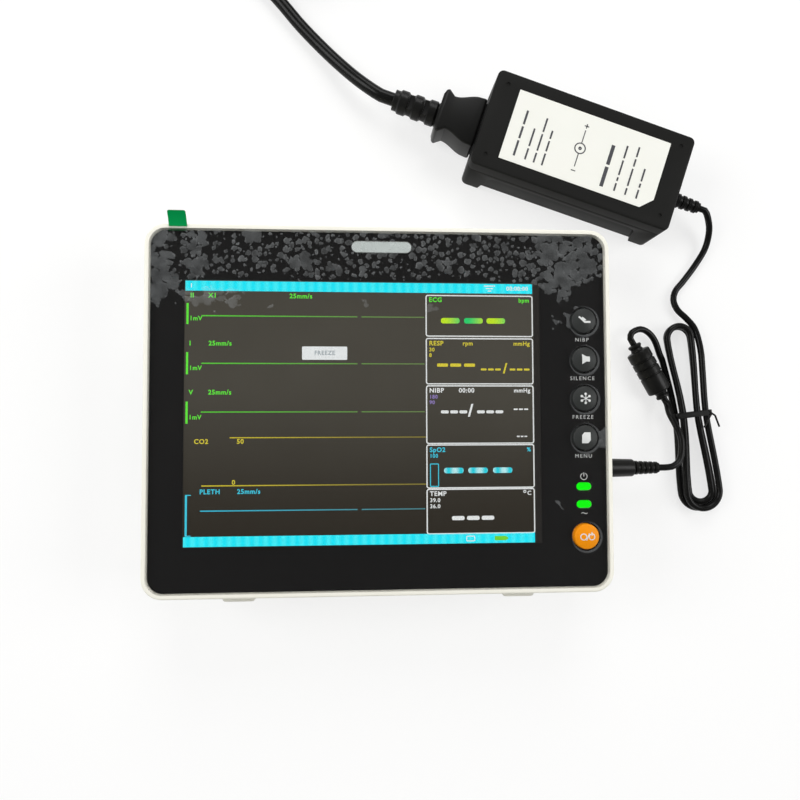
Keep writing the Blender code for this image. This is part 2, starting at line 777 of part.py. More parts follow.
# Sheet-metal chassis behind the screen, with standoffs for the two main boards
BOARD_SPOTS = [(MAIN_BOARD_X, MAIN_BOARD_WIDTH), (MEASURING_BOARD_X, MEASURING_BOARD_WIDTH)]
chassis_plate = slab(
    "chassis_plate",
    CHASSIS_WIDTH,
    CHASSIS_HEIGHT,
    CHASSIS_LOW,
    CHASSIS_TOP,
    corner=CHASSIS_CORNER,
    centre=(CHASSIS_X, 0.0),
)
STANDOFF_INSET = POST_RADIUS + EDGE
standoff_spots = [
    (x + side * (width / 2 - STANDOFF_INSET), BOARDS_Y + end * (BOARDS_HEIGHT / 2 - STANDOFF_INSET))
    for x, width in BOARD_SPOTS
    for side in (-1, 1)
    for end in (-1, 1)
]
standoffs = [
    rod("standoff", POST_RADIUS, (x, y, BOARD_TOP + GAP), (x, y, CHASSIS_LOW + CHASSIS / 2), SMALL_SIDES)
    for x, y in standoff_spots
]
fuse(chassis_plate, merge("standoffs", standoffs))
part(chassis_plate, STEEL, 0.35, 1.0)


def circuit_board(name, x, width, shield_width, shield_height):
    """A circuit board with a screening can on its rear side."""
    board = slab(name, width, BOARDS_HEIGHT, BOARD_LOW, BOARD_TOP, corner=BOARD_CORNER, centre=(x, BOARDS_Y))
    can = slab(
        "can",
        shield_width,
        shield_height,
        BOARD_LOW - SHIELD_HEIGHT,
        BOARD_LOW + BOARD / 2,
        centre=(x, BOARDS_Y),
        low_round=SHIELD_ROUND,
    )
    fuse(board, can)
    return part(board, BOARD_GREEN, 0.5)


circuit_board("main_board", MAIN_BOARD_X, MAIN_BOARD_WIDTH, MAIN_SHIELD_WIDTH, MAIN_SHIELD_HEIGHT)
circuit_board(
    "measurement_board",
    MEASURING_BOARD_X,
    MEASURING_BOARD_WIDTH,
    MEASURING_SHIELD_WIDTH,
    MEASURING_SHIELD_HEIGHT,
)

# Board behind the keys, with one tact switch under each key
key_board = slab(
    "key_board",
    KEY_BOARD_WIDTH,
    KEY_BOARD_HIGH_Y - KEY_BOARD_LOW_Y,
    KEY_BOARD_TOP - BOARD,
    KEY_BOARD_TOP,
    corner=BOARD_CORNER,
    centre=(COLUMN_X, (KEY_BOARD_HIGH_Y + KEY_BOARD_LOW_Y) / 2),
)
switches = [
    slab("switch", SWITCH_SIZE, SWITCH_SIZE, KEY_BOARD_TOP - BOARD / 2, SWITCH_TOP, centre=(COLUMN_X, y))
    for _, y, _, _ in KEYS
]
STEM_STOP = FLANGE_LOW - STEM_LENGTH - KEY_TRAVEL - SWITCH_AIR
stem_hole_top = SWITCH_TOP + WALL
stem_holes = [
    rod("stem_hole", STEM_RADIUS + KEY_GAP, (COLUMN_X, y, STEM_STOP), (COLUMN_X, y, stem_hole_top), SMALL_SIDES)
    for _, y, _, _ in KEYS
]
fuse(key_board, merge("switches", switches))
carve(key_board, merge("stem_holes", stem_holes))
part(key_board, BOARD_GREEN, 0.5)

# Rear cover: one moulded shell with screw pillars, battery bay, pump cradle and speaker ring
BAY = 2 * (CABLE_GAP + BAY_WALL)
DOOR_WIDTH = BATTERY_WIDTH + 2 * DOOR_SIDE
DOOR_HEIGHT = BATTERY_HEIGHT + 2 * DOOR_END
DOOR_SCREWS = [(BATTERY_X + side * (DOOR_WIDTH / 2 - DOOR_SCREW_INSET), BATTERY_Y) for side in (-1, 1)]
PUMP_HEIGHT = FLOOR + PUMP_RADIUS + PUMP_LIFT
POWER_BOARD_X = HALF_WIDTH - WALL - POWER_BOARD_INSET - POWER_BOARD_WIDTH / 2
POWER_BOARD_TOP = JACK_HEIGHT - JACK_BLOCK / 2 - GAP
POWER_POSTS = [
    (
        POWER_BOARD_X + side * (POWER_BOARD_WIDTH / 2 - STANDOFF_INSET),
        JACK_Y + end * (POWER_BOARD_HEIGHT / 2 - STANDOFF_INSET),
    )
    for side in (-1, 1)
    for end in (-1, 1)
]
SOCKETS = [
    ("nibp_port", CUFF_PORT_RADIUS),
    ("spo2_socket", OXYGEN_SOCKET_RADIUS),
    ("ecg_socket", HEART_SOCKET_RADIUS),
    ("temp_socket", HEAT_SOCKET_RADIUS),
]
SOCKET_YS = [FIRST_SOCKET_Y - SOCKET_PITCH * i for i in range(len(SOCKETS))]
CONNECTOR_Y = (SOCKET_YS[0] + SOCKET_YS[-1]) / 2
CONNECTOR_WIDTH = SOCKET_YS[0] - SOCKET_YS[-1] + 2 * CONNECTOR_MARGIN
LEFT_WALL = (-HALF_WIDTH, CONNECTOR_Y, SOCKET_HEIGHT)
RIGHT_WALL = (HALF_WIDTH, JACK_Y, JACK_HEIGHT)
FOOT_TOP = PARTING - FOOT_INSET
FOOT_MIDDLE = FOOT_TOP - FOOT_LENGTH / 2

rear_cover = slab(
    "rear_cover", HOUSING_WIDTH, HOUSING_HEIGHT, 0.0, PARTING, corner=HOUSING_CORNER, low_round=BACK_ROUND
)
rear_cavity = slab(
    "rear_cavity",
    HOUSING_WIDTH - 2 * WALL,
    HOUSING_HEIGHT - 2 * WALL,
    FLOOR,
    PARTING + WALL,
    corner=INNER_CORNER,
    low_round=BACK_ROUND - WALL,
)
bay_block = slab(
    "bay_block",
    BATTERY_WIDTH + BAY,
    BATTERY_HEIGHT + BAY,
    FLOOR / 2,
    BAY_DEPTH,
    centre=(BATTERY_X, BATTERY_Y),
)
stand_foot = FLOOR / 2
pillars = [rod("pillar", PILLAR_RADIUS, (x, y, stand_foot), (x, y, PARTING), RIB_SIDES) for x, y in BOSSES]
boss_top = DOOR + GAP + DOOR_SCREW_BITE + LAP
pillars += [
    rod("boss", BOSS_RADIUS, (x, y, stand_foot), (x, y, boss_top), SMALL_SIDES) for x, y in DOOR_SCREWS
]
power_post_top = POWER_BOARD_TOP - BOARD - GAP
pillars += [
    rod("post", POST_RADIUS, (x, y, stand_foot), (x, y, power_post_top), SMALL_SIDES) for x, y in POWER_POSTS
]
cradle_top = PUMP_HEIGHT - PUMP_RADIUS / 2
cradle_width = 2 * PUMP_RADIUS - 2 * LAP
cradles = [
    slab("cradle", CRADLE, cradle_width, stand_foot, cradle_top, centre=(PUMP_X + arm, PUMP_Y))
    for arm in (-PUMP_LENGTH / 4, PUMP_LENGTH / 4)
]
speaker_ring = rod(
    "speaker_ring",
    SPEAKER_RADIUS + GAP + BAY_WALL,
    (SPEAKER_X, SPEAKER_Y, stand_foot),
    (SPEAKER_X, SPEAKER_Y, FLOOR + SPEAKER_DEPTH / 2),
)
carve(rear_cover, rear_cavity)
fuse(rear_cover, bay_block, merge("pillars", pillars + cradles), speaker_ring)

bay_hole = slab(
    "bay_hole",
    BATTERY_WIDTH + 2 * CABLE_GAP,
    BATTERY_HEIGHT + 2 * CABLE_GAP,
    -WALL,
    BAY_DEPTH + WALL,
    centre=(BATTERY_X, BATTERY_Y),
)
door_recess = slab(
    "door_recess",
    DOOR_WIDTH + 2 * GAP,
    DOOR_HEIGHT + 2 * GAP,
    -WALL,
    DOOR + GAP,
    corner=DOOR_CORNER + GAP,
    centre=(BATTERY_X, BATTERY_Y),
)
wells = [
    rod("well", SCREW_HEAD_RADIUS + WELL_GAP, (x, y, -WALL), (x, y, SCREW_LEVEL), RIB_SIDES) for x, y in BOSSES
]
shafts = [
    rod("shaft", SCREW_RADIUS + GAP, (x, y, SCREW_LEVEL - WALL), (x, y, PARTING + WALL), SMALL_SIDES)
    for x, y in BOSSES
]
shafts += [
    rod("shaft", SCREW_RADIUS + GAP, (x, y, DOOR), (x, y, DOOR + GAP + DOOR_SCREW_BITE + EDGE), SMALL_SIDES)
    for x, y in DOOR_SCREWS
]
pump_bed = rod(
    "pump_bed",
    PUMP_RADIUS + GAP,
    (PUMP_X - PUMP_LENGTH, PUMP_Y, PUMP_HEIGHT),
    (PUMP_X + PUMP_LENGTH, PUMP_Y, PUMP_HEIGHT),
)
speaker_bed = rod(
    "speaker_bed",
    SPEAKER_RADIUS + GAP,
    (SPEAKER_X, SPEAKER_Y, FLOOR),
    (SPEAKER_X, SPEAKER_Y, FLOOR + SPEAKER_DEPTH),
)
SLOT_MIDDLE = (SLOT_COUNT - 1) / 2
slots = [
    pill(
        "slot",
        2 * math.sqrt((SPEAKER_RADIUS - SLOT_MARGIN) ** 2 - ((i - SLOT_MIDDLE) * SLOT_PITCH) ** 2),
        SLOT_WIDTH,
        -WALL,
        FLOOR + WALL,
        (SPEAKER_X, SPEAKER_Y + (i - SLOT_MIDDLE) * SLOT_PITCH),
    )
    for i in range(SLOT_COUNT)
]
connector_window = face(
    slab(
        "connector_window",
        CONNECTOR_WIDTH - 2 * CONNECTOR_LAP,
        CONNECTOR_HEIGHT - 2 * CONNECTOR_LAP,
        -WALL - CONNECTOR_PANEL,
        WALL,
        corner=CONNECTOR_CORNER,
    ),
    (-1, 0, 0),
    LEFT_WALL,
)
jack_hole = rod(
    "jack_hole",
    JACK_RADIUS + GAP,
    (HALF_WIDTH - 3 * WALL, JACK_Y, JACK_HEIGHT),
    (HALF_WIDTH + WALL, JACK_Y, JACK_HEIGHT),
)
peg_holes = [
    rod(
        "peg_hole",
        PEG_RADIUS + GAP,
        (side * FOOT_X, -HALF_HEIGHT - WALL, FOOT_MIDDLE),
        (side * FOOT_X, -HALF_HEIGHT + 2 * WALL, FOOT_MIDDLE),
        SMALL_SIDES,
    )
    for side in (-1, 1)
]
carve(rear_cover, bay_hole, door_recess, pump_bed, speaker_bed)
carve(rear_cover, merge("wells", wells), merge("shafts", shafts), merge("slots", slots))
carve(rear_cover, connector_window, merge("side_holes", [jack_hole] + peg_holes))
part(rear_cover, CREAM, 0.42)


def screw(name, place, head_radius, head, bite, pointing):
    """A pan-head screw. Its place is under the head, and it points along local Z."""
    profile = [
        (0.0, bite),
        (SCREW_RADIUS, bite),
        (SCREW_RADIUS, 0.0),
        (head_radius, 0.0),
        (head_radius * 0.92, -head * 0.7),
        (head_radius * 0.6, -head),
        (0.0, -head),
    ]
    piece = face(turned(name, profile, SMALL_SIDES), pointing, place)
    return part(piece, STEEL, 0.35, 1.0)


for number, (boss_x, boss_y) in enumerate(BOSSES, 1):
    under = (boss_x, boss_y, SCREW_LEVEL - GAP)
    screw(f"case_screw_{number}", under, SCREW_HEAD_RADIUS, SCREW_HEAD, SCREW_SEAT + SCREW_BITE, (0, 0, 1))

# Feet that carry the monitor when it stands on its lower edge
for side, foot_name in ((-1, "foot_left"), (1, "foot_right")):
    foot_x = side * FOOT_X
    high = -HALF_HEIGHT - GAP
    tip = -HALF_HEIGHT - FOOT_DROP
    trapezoid = [
        (foot_x - FOOT_WIDTH / 2, high),
        (foot_x - FOOT_TIP / 2, tip),
        (foot_x + FOOT_TIP / 2, tip),
        (foot_x + FOOT_WIDTH / 2, high),
    ]
    foot = outlined(foot_name, [trapezoid], FOOT_TOP - FOOT_LENGTH, FOOT_TOP)
    peg_end = (foot_x, -HALF_HEIGHT + WALL + EDGE, FOOT_MIDDLE)
    fuse(foot, rod("peg", PEG_RADIUS, (foot_x, high - LAP, FOOT_MIDDLE), peg_end, SMALL_SIDES))
    part(foot, CREAM, 0.55)

# Battery pack, its door flush with the back, and the two door screws
battery_pack = slab(
    "battery_pack",
    BATTERY_WIDTH,
    BATTERY_HEIGHT,
    DOOR + GAP,
    DOOR + GAP + BATTERY_DEPTH,
    centre=(BATTERY_X, BATTERY_Y),
    top_round=BATTERY_ROUND,
)
part(battery_pack, (0.03, 0.08, 0.22), 0.35)
battery_door = slab(
    "battery_door", DOOR_WIDTH, DOOR_HEIGHT, 0.0, DOOR, corner=DOOR_CORNER, centre=(BATTERY_X, BATTERY_Y)
)
door_sinks = [
    rod("sink", SCREW_HEAD_RADIUS + GAP, (x, y, -WALL), (x, y, DOOR_SCREW_HEAD + GAP), RIB_SIDES)
    for x, y in DOOR_SCREWS
]
door_holes = [
    rod("door_hole", SCREW_RADIUS + GAP, (x, y, -WALL), (x, y, DOOR + WALL), SMALL_SIDES)
    for x, y in DOOR_SCREWS
]
carve(battery_door, merge("door_sinks", door_sinks), merge("door_holes", door_holes))
part(battery_door, CREAM, 0.45)
for number, (screw_x, screw_y) in enumerate(DOOR_SCREWS, 1):
    under = (screw_x, screw_y, DOOR_SCREW_HEAD)
    bite = DOOR - DOOR_SCREW_HEAD + DOOR_SCREW_BITE
    screw(f"door_screw_{number}", under, SCREW_HEAD_RADIUS, DOOR_SCREW_HEAD, bite, (0, 0, 1))

# Cuff pump in its cradle, with an outlet nozzle towards the valve
pump_left = PUMP_LENGTH / 2
pump_right = -PUMP_LENGTH / 2
pump_profile = [
    (0.0, pump_left),
    (PUMP_RADIUS - 2 * EDGE, pump_left),
    (PUMP_RADIUS, pump_left - 2 * EDGE),
    (PUMP_RADIUS, pump_right + MOTOR_LENGTH),
    (MOTOR_RADIUS, pump_right + MOTOR_LENGTH),
    (MOTOR_RADIUS, pump_right + EDGE),
    (MOTOR_RADIUS - EDGE, pump_right),
    (0.0, pump_right),
]
VALVE_X = PUMP_X - PUMP_LENGTH / 4 - VALVE_SHIFT
nibp_pump = face(turned("nibp_pump", pump_profile), (-1, 0, 0), (PUMP_X, PUMP_Y, PUMP_HEIGHT))
NOZZLE_Y = PUMP_Y - PUMP_RADIUS - NOZZLE_LENGTH
pump_nozzle = rod(
    "nozzle", NOZZLE_RADIUS, (VALVE_X, PUMP_Y, PUMP_HEIGHT), (VALVE_X, NOZZLE_Y, PUMP_HEIGHT), SMALL_SIDES
)
fuse(nibp_pump, pump_nozzle)
part(nibp_pump, STEEL, 0.4, 0.8)

# Solenoid valve between the pump and the cuff port, with a nozzle to each
VALVE_Y = FIRST_SOCKET_Y
VALVE_TOP = PUMP_HEIGHT + VALVE_RISE
nibp_valve = slab(
    "nibp_valve",
    VALVE_WIDTH,
    VALVE_HEIGHT,
    FLOOR + GAP,
    VALVE_TOP,
    centre=(VALVE_X, VALVE_Y),
    top_round=EDGE,
)
valve_top_end = VALVE_Y + VALVE_HEIGHT / 2 + NOZZLE_LENGTH
valve_side_end = VALVE_X - VALVE_WIDTH / 2 - NOZZLE_LENGTH
valve_inlet = rod(
    "nozzle", NOZZLE_RADIUS, (VALVE_X, VALVE_Y, PUMP_HEIGHT), (VALVE_X, valve_top_end, PUMP_HEIGHT), SMALL_SIDES
)
valve_outlet = rod(
    "nozzle",
    NOZZLE_RADIUS,
    (VALVE_X, VALVE_Y, SOCKET_HEIGHT),
    (valve_side_end, VALVE_Y, SOCKET_HEIGHT),
    SMALL_SIDES,
)
fuse(nibp_valve, valve_inlet, valve_outlet)
part(nibp_valve, GREY, 0.5)


def air_tube(name, start, end):
    """A silicone sleeve pushed over two nozzles."""
    run = Vector(end) - Vector(start)
    inner = NOZZLE_RADIUS + GAP
    outer = inner + TUBE_WALL
    length = run.length
    sleeve = turned(name, [(outer, length), (outer, 0.0), (inner, 0.0), (inner, length)], SMALL_SIDES)
    return part(face(sleeve, run, start), CLEAR, 0.5)


air_tube(
    "air_tube_pump",
    (VALVE_X, VALVE_Y + VALVE_HEIGHT / 2 + GAP, PUMP_HEIGHT),
    (VALVE_X, PUMP_Y - PUMP_RADIUS - GAP, PUMP_HEIGHT),
)
PORT_END = -HALF_WIDTH + SOCKET_SINK + SOCKET_LENGTH
air_tube(
    "air_tube_port",
    (VALVE_X - VALVE_WIDTH / 2 - GAP, VALVE_Y, SOCKET_HEIGHT),
    (PORT_END + GAP, VALVE_Y, SOCKET_HEIGHT),
)

# Loudspeaker in its ring behind the slots of the back
speaker_profile = [
    (0.0, SPEAKER_DEPTH),
    (MAGNET_RADIUS, SPEAKER_DEPTH),
    (MAGNET_RADIUS, SPEAKER_DEPTH * 0.55),
    (SPEAKER_RADIUS - SPEAKER_RIM / 2, SPEAKER_DEPTH * 0.3),
    (SPEAKER_RADIUS, SPEAKER_DEPTH * 0.3),
    (SPEAKER_RADIUS, 0.0),
    (SPEAKER_RADIUS - SPEAKER_RIM, 0.0),
    (MAGNET_RADIUS * 0.5, SPEAKER_DEPTH * 0.3),
    (0.0, SPEAKER_DEPTH * 0.25),
]
speaker = turned("speaker", speaker_profile)
speaker.location = (SPEAKER_X, SPEAKER_Y, FLOOR + GAP)
part(speaker, (0.05, 0.05, 0.05), 0.6)

# Connector panel behind the window of the left wall
PANEL_FRONT = -WALL - GAP
connector_panel = face(
    slab(
        "connector_panel",
        CONNECTOR_WIDTH,
        CONNECTOR_HEIGHT,
        PANEL_FRONT - CONNECTOR_PANEL,
        PANEL_FRONT,
        corner=CONNECTOR_CORNER,
    ),
    (-1, 0, 0),
    LEFT_WALL,
)
hole_start = -HALF_WIDTH - WALL
hole_end = -HALF_WIDTH + 4 * WALL
socket_holes = [
    rod("socket_hole", radius + GAP, (hole_start, y, SOCKET_HEIGHT), (hole_end, y, SOCKET_HEIGHT))
    for (_, radius), y in zip(SOCKETS, SOCKET_YS)
]
carve(connector_panel, merge("socket_holes", socket_holes))
part(connector_panel, GREY, 0.5)


def socket(name, radius, y):
    """A round panel socket with an open recess and a flange behind the panel."""
    front = -SOCKET_SINK
    flange = PANEL_FRONT - CONNECTOR_PANEL - GAP
    profile = [
        (0.0, front - SOCKET_RECESS),
        (radius - SOCKET_WALL, front - SOCKET_RECESS),
        (radius - SOCKET_WALL, front),
        (radius, front),
        (radius, flange),
        (radius + SOCKET_FLANGE, flange),
        (radius + SOCKET_FLANGE, flange - SOCKET_FLANGE_THICK),
        (radius, flange - SOCKET_FLANGE_THICK),
        (radius, front - SOCKET_LENGTH),
        (0.0, front - SOCKET_LENGTH),
    ]
    return face(turned(name, profile, RIB_SIDES), (-1, 0, 0), (-HALF_WIDTH, y, SOCKET_HEIGHT))


for (socket_name, socket_radius), socket_y in zip(SOCKETS, SOCKET_YS):
    piece = socket(socket_name, socket_radius, socket_y)
    if socket_name == "nibp_port":
        barb_start = (PORT_END - LAP, socket_y, SOCKET_HEIGHT)
        barb_end = (PORT_END + NOZZLE_LENGTH, socket_y, SOCKET_HEIGHT)
        fuse(piece, rod("barb", NOZZLE_RADIUS, barb_start, barb_end, SMALL_SIDES))
    part(piece, GREY, 0.4)

# Direct-current jack: a block on the power board with a round nose in the right wall
dc_jack = face(
    slab("dc_jack", JACK_BLOCK, JACK_BLOCK, -WALL - GAP - JACK_LENGTH, -WALL - GAP, low_round=EDGE / 2),
    (1, 0, 0),
    RIGHT_WALL,
)
nose_back = HALF_WIDTH - WALL - LAP
jack_nose = rod(
    "jack_nose",
    JACK_RADIUS,
    (nose_back, JACK_Y, JACK_HEIGHT),
    (HALF_WIDTH - SOCKET_SINK, JACK_Y, JACK_HEIGHT),
)
bore_end = HALF_WIDTH - SOCKET_SINK - JACK_BORE
jack_bore = rod(
    "jack_bore", JACK_BORE_RADIUS, (bore_end, JACK_Y, JACK_HEIGHT), (HALF_WIDTH + WALL, JACK_Y, JACK_HEIGHT)
)
jack_pin = rod(
    "jack_pin",
    JACK_PIN_RADIUS,
    (bore_end - EDGE, JACK_Y, JACK_HEIGHT),
    (HALF_WIDTH - JACK_PIN_SINK, JACK_Y, JACK_HEIGHT),
    SMALL_SIDES,
)
fuse(dc_jack, jack_nose)
carve(dc_jack, jack_bore)
fuse(dc_jack, jack_pin)
part(dc_jack, BLACK, 0.4)

# Power board that carries the jack and charges the battery
power_board = slab(
    "power_board",
    POWER_BOARD_WIDTH,
    POWER_BOARD_HEIGHT,
    POWER_BOARD_TOP - BOARD,
    POWER_BOARD_TOP,
    corner=BOARD_CORNER,
    centre=(POWER_BOARD_X, JACK_Y),
)
choke = rod(
    "choke",
    CHOKE_RADIUS,
    (POWER_BOARD_X, JACK_Y - POWER_BOARD_HEIGHT / 4, POWER_BOARD_TOP - BOARD / 2),
    (POWER_BOARD_X, JACK_Y - POWER_BOARD_HEIGHT / 4, POWER_BOARD_TOP + CHOKE_HEIGHT),
    SMALL_SIDES,
)
fuse(power_board, choke)
part(power_board, BOARD_GREEN, 0.5)


def ribbed(start, length, radius, tip, ribs, groove):
    """Profile of a tapered strain relief: rings with grooves between, from its root to its tip."""
    step = length / ribs
    points = []
    for i in range(ribs):
        here = radius + (tip - radius) * i / ribs
        there = radius + (tip - radius) * (i + 1) / ribs
        low = start + i * step
        points += [(here, low), (there, low + step * 0.62)]
        if i < ribs - 1:
            points += [(there - groove, low + step * 0.62), (there - groove, low + step)]
    return points + [(tip, start + length)]


# Plug of the direct-current lead, pushed into the jack
PLUG_START = CABLE_GAP
relief_start = PLUG_START + PLUG_LENGTH
plug_points = [
    (PLUG_BORE_RADIUS, PLUG_START - EDGE),
    (PLUG_BORE_RADIUS, PLUG_START - PLUG_BARREL),
    (PLUG_BARREL_RADIUS, PLUG_START - PLUG_BARREL),
    (PLUG_BARREL_RADIUS, PLUG_START),
    (PLUG_RADIUS, PLUG_START),
    (PLUG_RADIUS, PLUG_START + PLUG_LENGTH * 0.4),
    (PLUG_REAR_RADIUS, relief_start - EDGE),
    (RELIEF_RADIUS, relief_start),
]
relief_ribs = relief_start + RELIEF_NECK
plug_points += ribbed(
    relief_ribs, RELIEF_LENGTH, RELIEF_RADIUS, RELIEF_TIP_RADIUS, RELIEF_RIBS, RELIEF_GROOVE
)
PLUG_END = relief_ribs + RELIEF_LENGTH
plug_profile = [(0.0, PLUG_END)] + plug_points[::-1] + [(0.0, PLUG_START - EDGE)]
dc_plug = face(turned("dc_plug", plug_profile, RIB_SIDES), (1, 0, 0), RIGHT_WALL)
part(dc_plug, VINYL, 0.5)


def flow(points, step):
    """Points about a step apart on a smooth curve through a route. Its first and last stretch stay straight."""
    route = [Vector(p) for p in points]
    fine = []
    for a, b, c, d in zip(route, route[1:], route[2:], route[3:]):
        for i in range(20):
            t = i / 20
            bend = (c - a) * t + (2 * a - 5 * b + 4 * c - d) * t**2 + (3 * b - a - 3 * c + d) * t**3
            fine.append(b + bend / 2)
    spaced = [fine[0]]
    travelled = 0.0
    for before, after in zip(fine, fine[1:]):
        travelled += (after - before).length
        if travelled >= step:
            spaced.append(after)
            travelled = 0.0
    if (spaced[-1] - route[-2]).length < step / 2:
        spaced.pop()
    return [route[0]] + spaced + [route[-2], route[-1]]


def tube(name, points, radius, resolution):
    """A round lead along its points, with closed ends."""
    curve = bpy.data.curves.new(name, "CURVE")
    curve.dimensions = "3D"
    curve.bevel_depth = radius
    curve.bevel_resolution = resolution
    curve.use_fill_caps = True
    spline = curve.splines.new("POLY")
    spline.points.add(len(points) - 1)
    for point, place in zip(spline.points, points):
        point.co = (*place, 1.0)
    return part(as_tool(bpy.data.objects.new(name, curve)), VINYL, 0.5)


def least_gap(points, radius):
    """Least clear distance between stretches of a lead that aren't next to each other along it."""
    best = math.inf
    reach = 8 * radius
    segments = list(zip(points, points[1:]))
    along = [0.0]
    for a, b in segments:
        along.append(along[-1] + (b - a).length)
    samples = [
        (along[i] + (b - a).length * k / 4, a.lerp(b, k / 4))
        for i, (a, b) in enumerate(segments)
        for k in range(4)
    ]
    for i, (place, p) in enumerate(samples):
        for other, q in samples[i + 1 :]:
            if other - place > reach:
                best = min(best, (p - q).length)
    return best - 2 * radius


def soft_step(share):
    """0 to 1 with level ends."""
    share = min(max(share, 0.0), 1.0)
    return share * share * (3 - 2 * share)


def wound(turns, done):
    """How far in a two-layer winding is, in turns from its outside, and its layer from 0 to 1.

    It spirals in, climbs in the half turn where it reverses, and spirals out again.
    """
    one_way = (turns - 0.5) / 2
    inwards = min(done, one_way) - max(0.0, done - one_way - 0.5)
    return inwards, soft_step((done - one_way) / 0.5)


LOOP_POINTS = 24
LEAD_REST = LEAD_RADIUS + TABLE_GAP
hank_along = Vector((math.cos(HANK_ANGLE), math.sin(HANK_ANGLE), 0.0))
hank_across = Vector((-math.sin(HANK_ANGLE), math.cos(HANK_ANGLE), 0.0))
hank_middle = Vector((HANK_X, HANK_Y, 0.0))
TIE_LIFT = TIE_THICK + GAP


def hank_point(done):
    """A point of the hank after so many turns, counted from the tip of its upper fold.

    Half a turn is the second half of a round fold, a run drawn in at the waist, where the tie lifts
    it, and the first half of the other fold, a third of the half turn each.
    """
    inwards, layer = wound(HANK_TURNS, done)
    lobe = HANK_LOBE - HANK_STEP * inwards
    waist = HANK_WAIST - HANK_STEP * inwards
    fold = HANK_LENGTH / 2 - HANK_LOBE
    half_turns, share = divmod(2 * (HANK_START + done), 1)
    side = -1 if half_turns % 2 else 1
    slide = min(max(3 - 6 * share, -1), 1)
    bend = math.pi / 2 * (3 * share - 0.5 + slide / 2)
    along = fold * slide + lobe * math.cos(bend)
    across = lobe * math.sin(bend) - (lobe - waist) * (1 - soft_step(abs(slide)))
    height = LEAD_REST + TIE_LIFT * soft_step((1 - abs(slide)) / 0.75) + HANK_LAYER * layer
    return hank_middle + side * (hank_along * along + hank_across * across) + Vector((0.0, 0.0, height))


# Ferrite core moulded round the lead, between the plug and the hank
ferrite_along = Vector((math.cos(FERRITE_ANGLE), math.sin(FERRITE_ANGLE), 0.0))
ferrite_middle = Vector((FERRITE_X, FERRITE_Y, FERRITE_RADIUS + TABLE_GAP))
half_core = FERRITE_LENGTH / 2
core_points = [
    (FERRITE_NUB_RADIUS * 0.8, -half_core - FERRITE_NUB),
    (FERRITE_NUB_RADIUS, -half_core - FERRITE_NUB * 0.7),
    (FERRITE_NUB_RADIUS * 0.8, -half_core - FERRITE_NUB * 0.4),
    (FERRITE_NUB_RADIUS, -half_core),
    (FERRITE_RADIUS - EDGE, -half_core),
    (FERRITE_RADIUS, -half_core + EDGE),
]
for share in (-0.12, 0.06, 0.24):
    low = share * FERRITE_LENGTH
    core_points += [
        (FERRITE_RADIUS, low),
        (FERRITE_RADIUS - FERRITE_GROOVE, low + FERRITE_GROOVE_WIDTH / 3),
        (FERRITE_RADIUS - FERRITE_GROOVE, low + FERRITE_GROOVE_WIDTH * 2 / 3),
        (FERRITE_RADIUS, low + FERRITE_GROOVE_WIDTH),
    ]
core_points += [(radius, -height) for radius, height in core_points[5::-1]]
core_profile = [(0.0, core_points[-1][1])] + core_points[::-1] + [(0.0, core_points[0][1])]
ferrite_core = face(turned("ferrite_core", core_profile, RIB_SIDES), ferrite_along, ferrite_middle)
part(ferrite_core, VINYL, 0.55)
CORE_REACH = half_core + FERRITE_NUB + GAP
core_low = ferrite_middle - ferrite_along * CORE_REACH
core_high = ferrite_middle + ferrite_along * CORE_REACH

# Lead from the plug, past the lower lobe of the hank and into the ferrite core
plug_tip = Vector((HALF_WIDTH + PLUG_END + GAP, JACK_Y, JACK_HEIGHT))
plug_route = [
    plug_tip,
    plug_tip + Vector((2 * LEAD_RADIUS, 0.0, 0.0)),
    Vector((0.1536, -0.0286, 0.0158)),
    Vector((0.1574, -0.0256, 0.0150)),
    Vector((0.1591, -0.0200, 0.0140)),
    Vector((0.1592, -0.0135, 0.0130)),
    Vector((0.1570, -0.0070, 0.0118)),
    Vector((0.1548, -0.0010, 0.0098)),
    core_low - ferrite_along * 2 * LEAD_RADIUS,
    core_low,
]
tube("dc_lead_plug_run", flow(plug_route, 4 * LEAD_RADIUS), LEAD_RADIUS, 2)

# Hank of the same lead: a bow over the top of the core, then the loops
hank_steps = round(HANK_TURNS * LOOP_POINTS)
hank_loops = [hank_point(HANK_TURNS * i / hank_steps) for i in range(hank_steps + 1)]
bow = [
    core_high,
    core_high + ferrite_along * 2 * LEAD_RADIUS,
    Vector((0.1367, 0.0427, 0.0062)),
    Vector((0.1418, 0.0446, 0.0056)),
    Vector((0.1468, 0.0425, 0.0046)),
    Vector((0.1505, 0.0380, 0.0036)),
    Vector((0.1533, 0.0310, 0.0026)),
    hank_loops[0],
]
bow_points = flow(bow + [hank_loops[1]], 2 * LEAD_RADIUS)[:-2]
hank_tail = (hank_loops[-1] - hank_loops[-2]).normalized()
hank_end = hank_loops[-1] + hank_tail * 2 * LEAD_RADIUS
hank_points = bow_points + hank_loops + [hank_end]
tube("dc_hank", hank_points, LEAD_RADIUS, 1)
print("least gap of the hank, mm:", round(least_gap(hank_points, LEAD_RADIUS) / MM, 2))

# Twist tie round the waist of the hank
TIE_LOW = 2 * TABLE_GAP
tie_reach = HANK_WAIST + LEAD_RADIUS + GAP
tie_top = LEAD_REST + TIE_LIFT + HANK_LAYER + LEAD_RADIUS + GAP + TIE_THICK
tie_height = tie_top - TIE_LOW


def ring_outline(half_width, height, low, radius):
    """A rounded rectangle standing on a low edge, as an outline."""
    right = half_width - radius
    top = low + height - radius
    bottom = low + radius
    return (
        arc((right, top), radius, 0, 90)
        + arc((-right, top), radius, 90, 180)
        + arc((-right, bottom), radius, 180, 270)
        + arc((right, bottom), radius, 270, 360)
    )


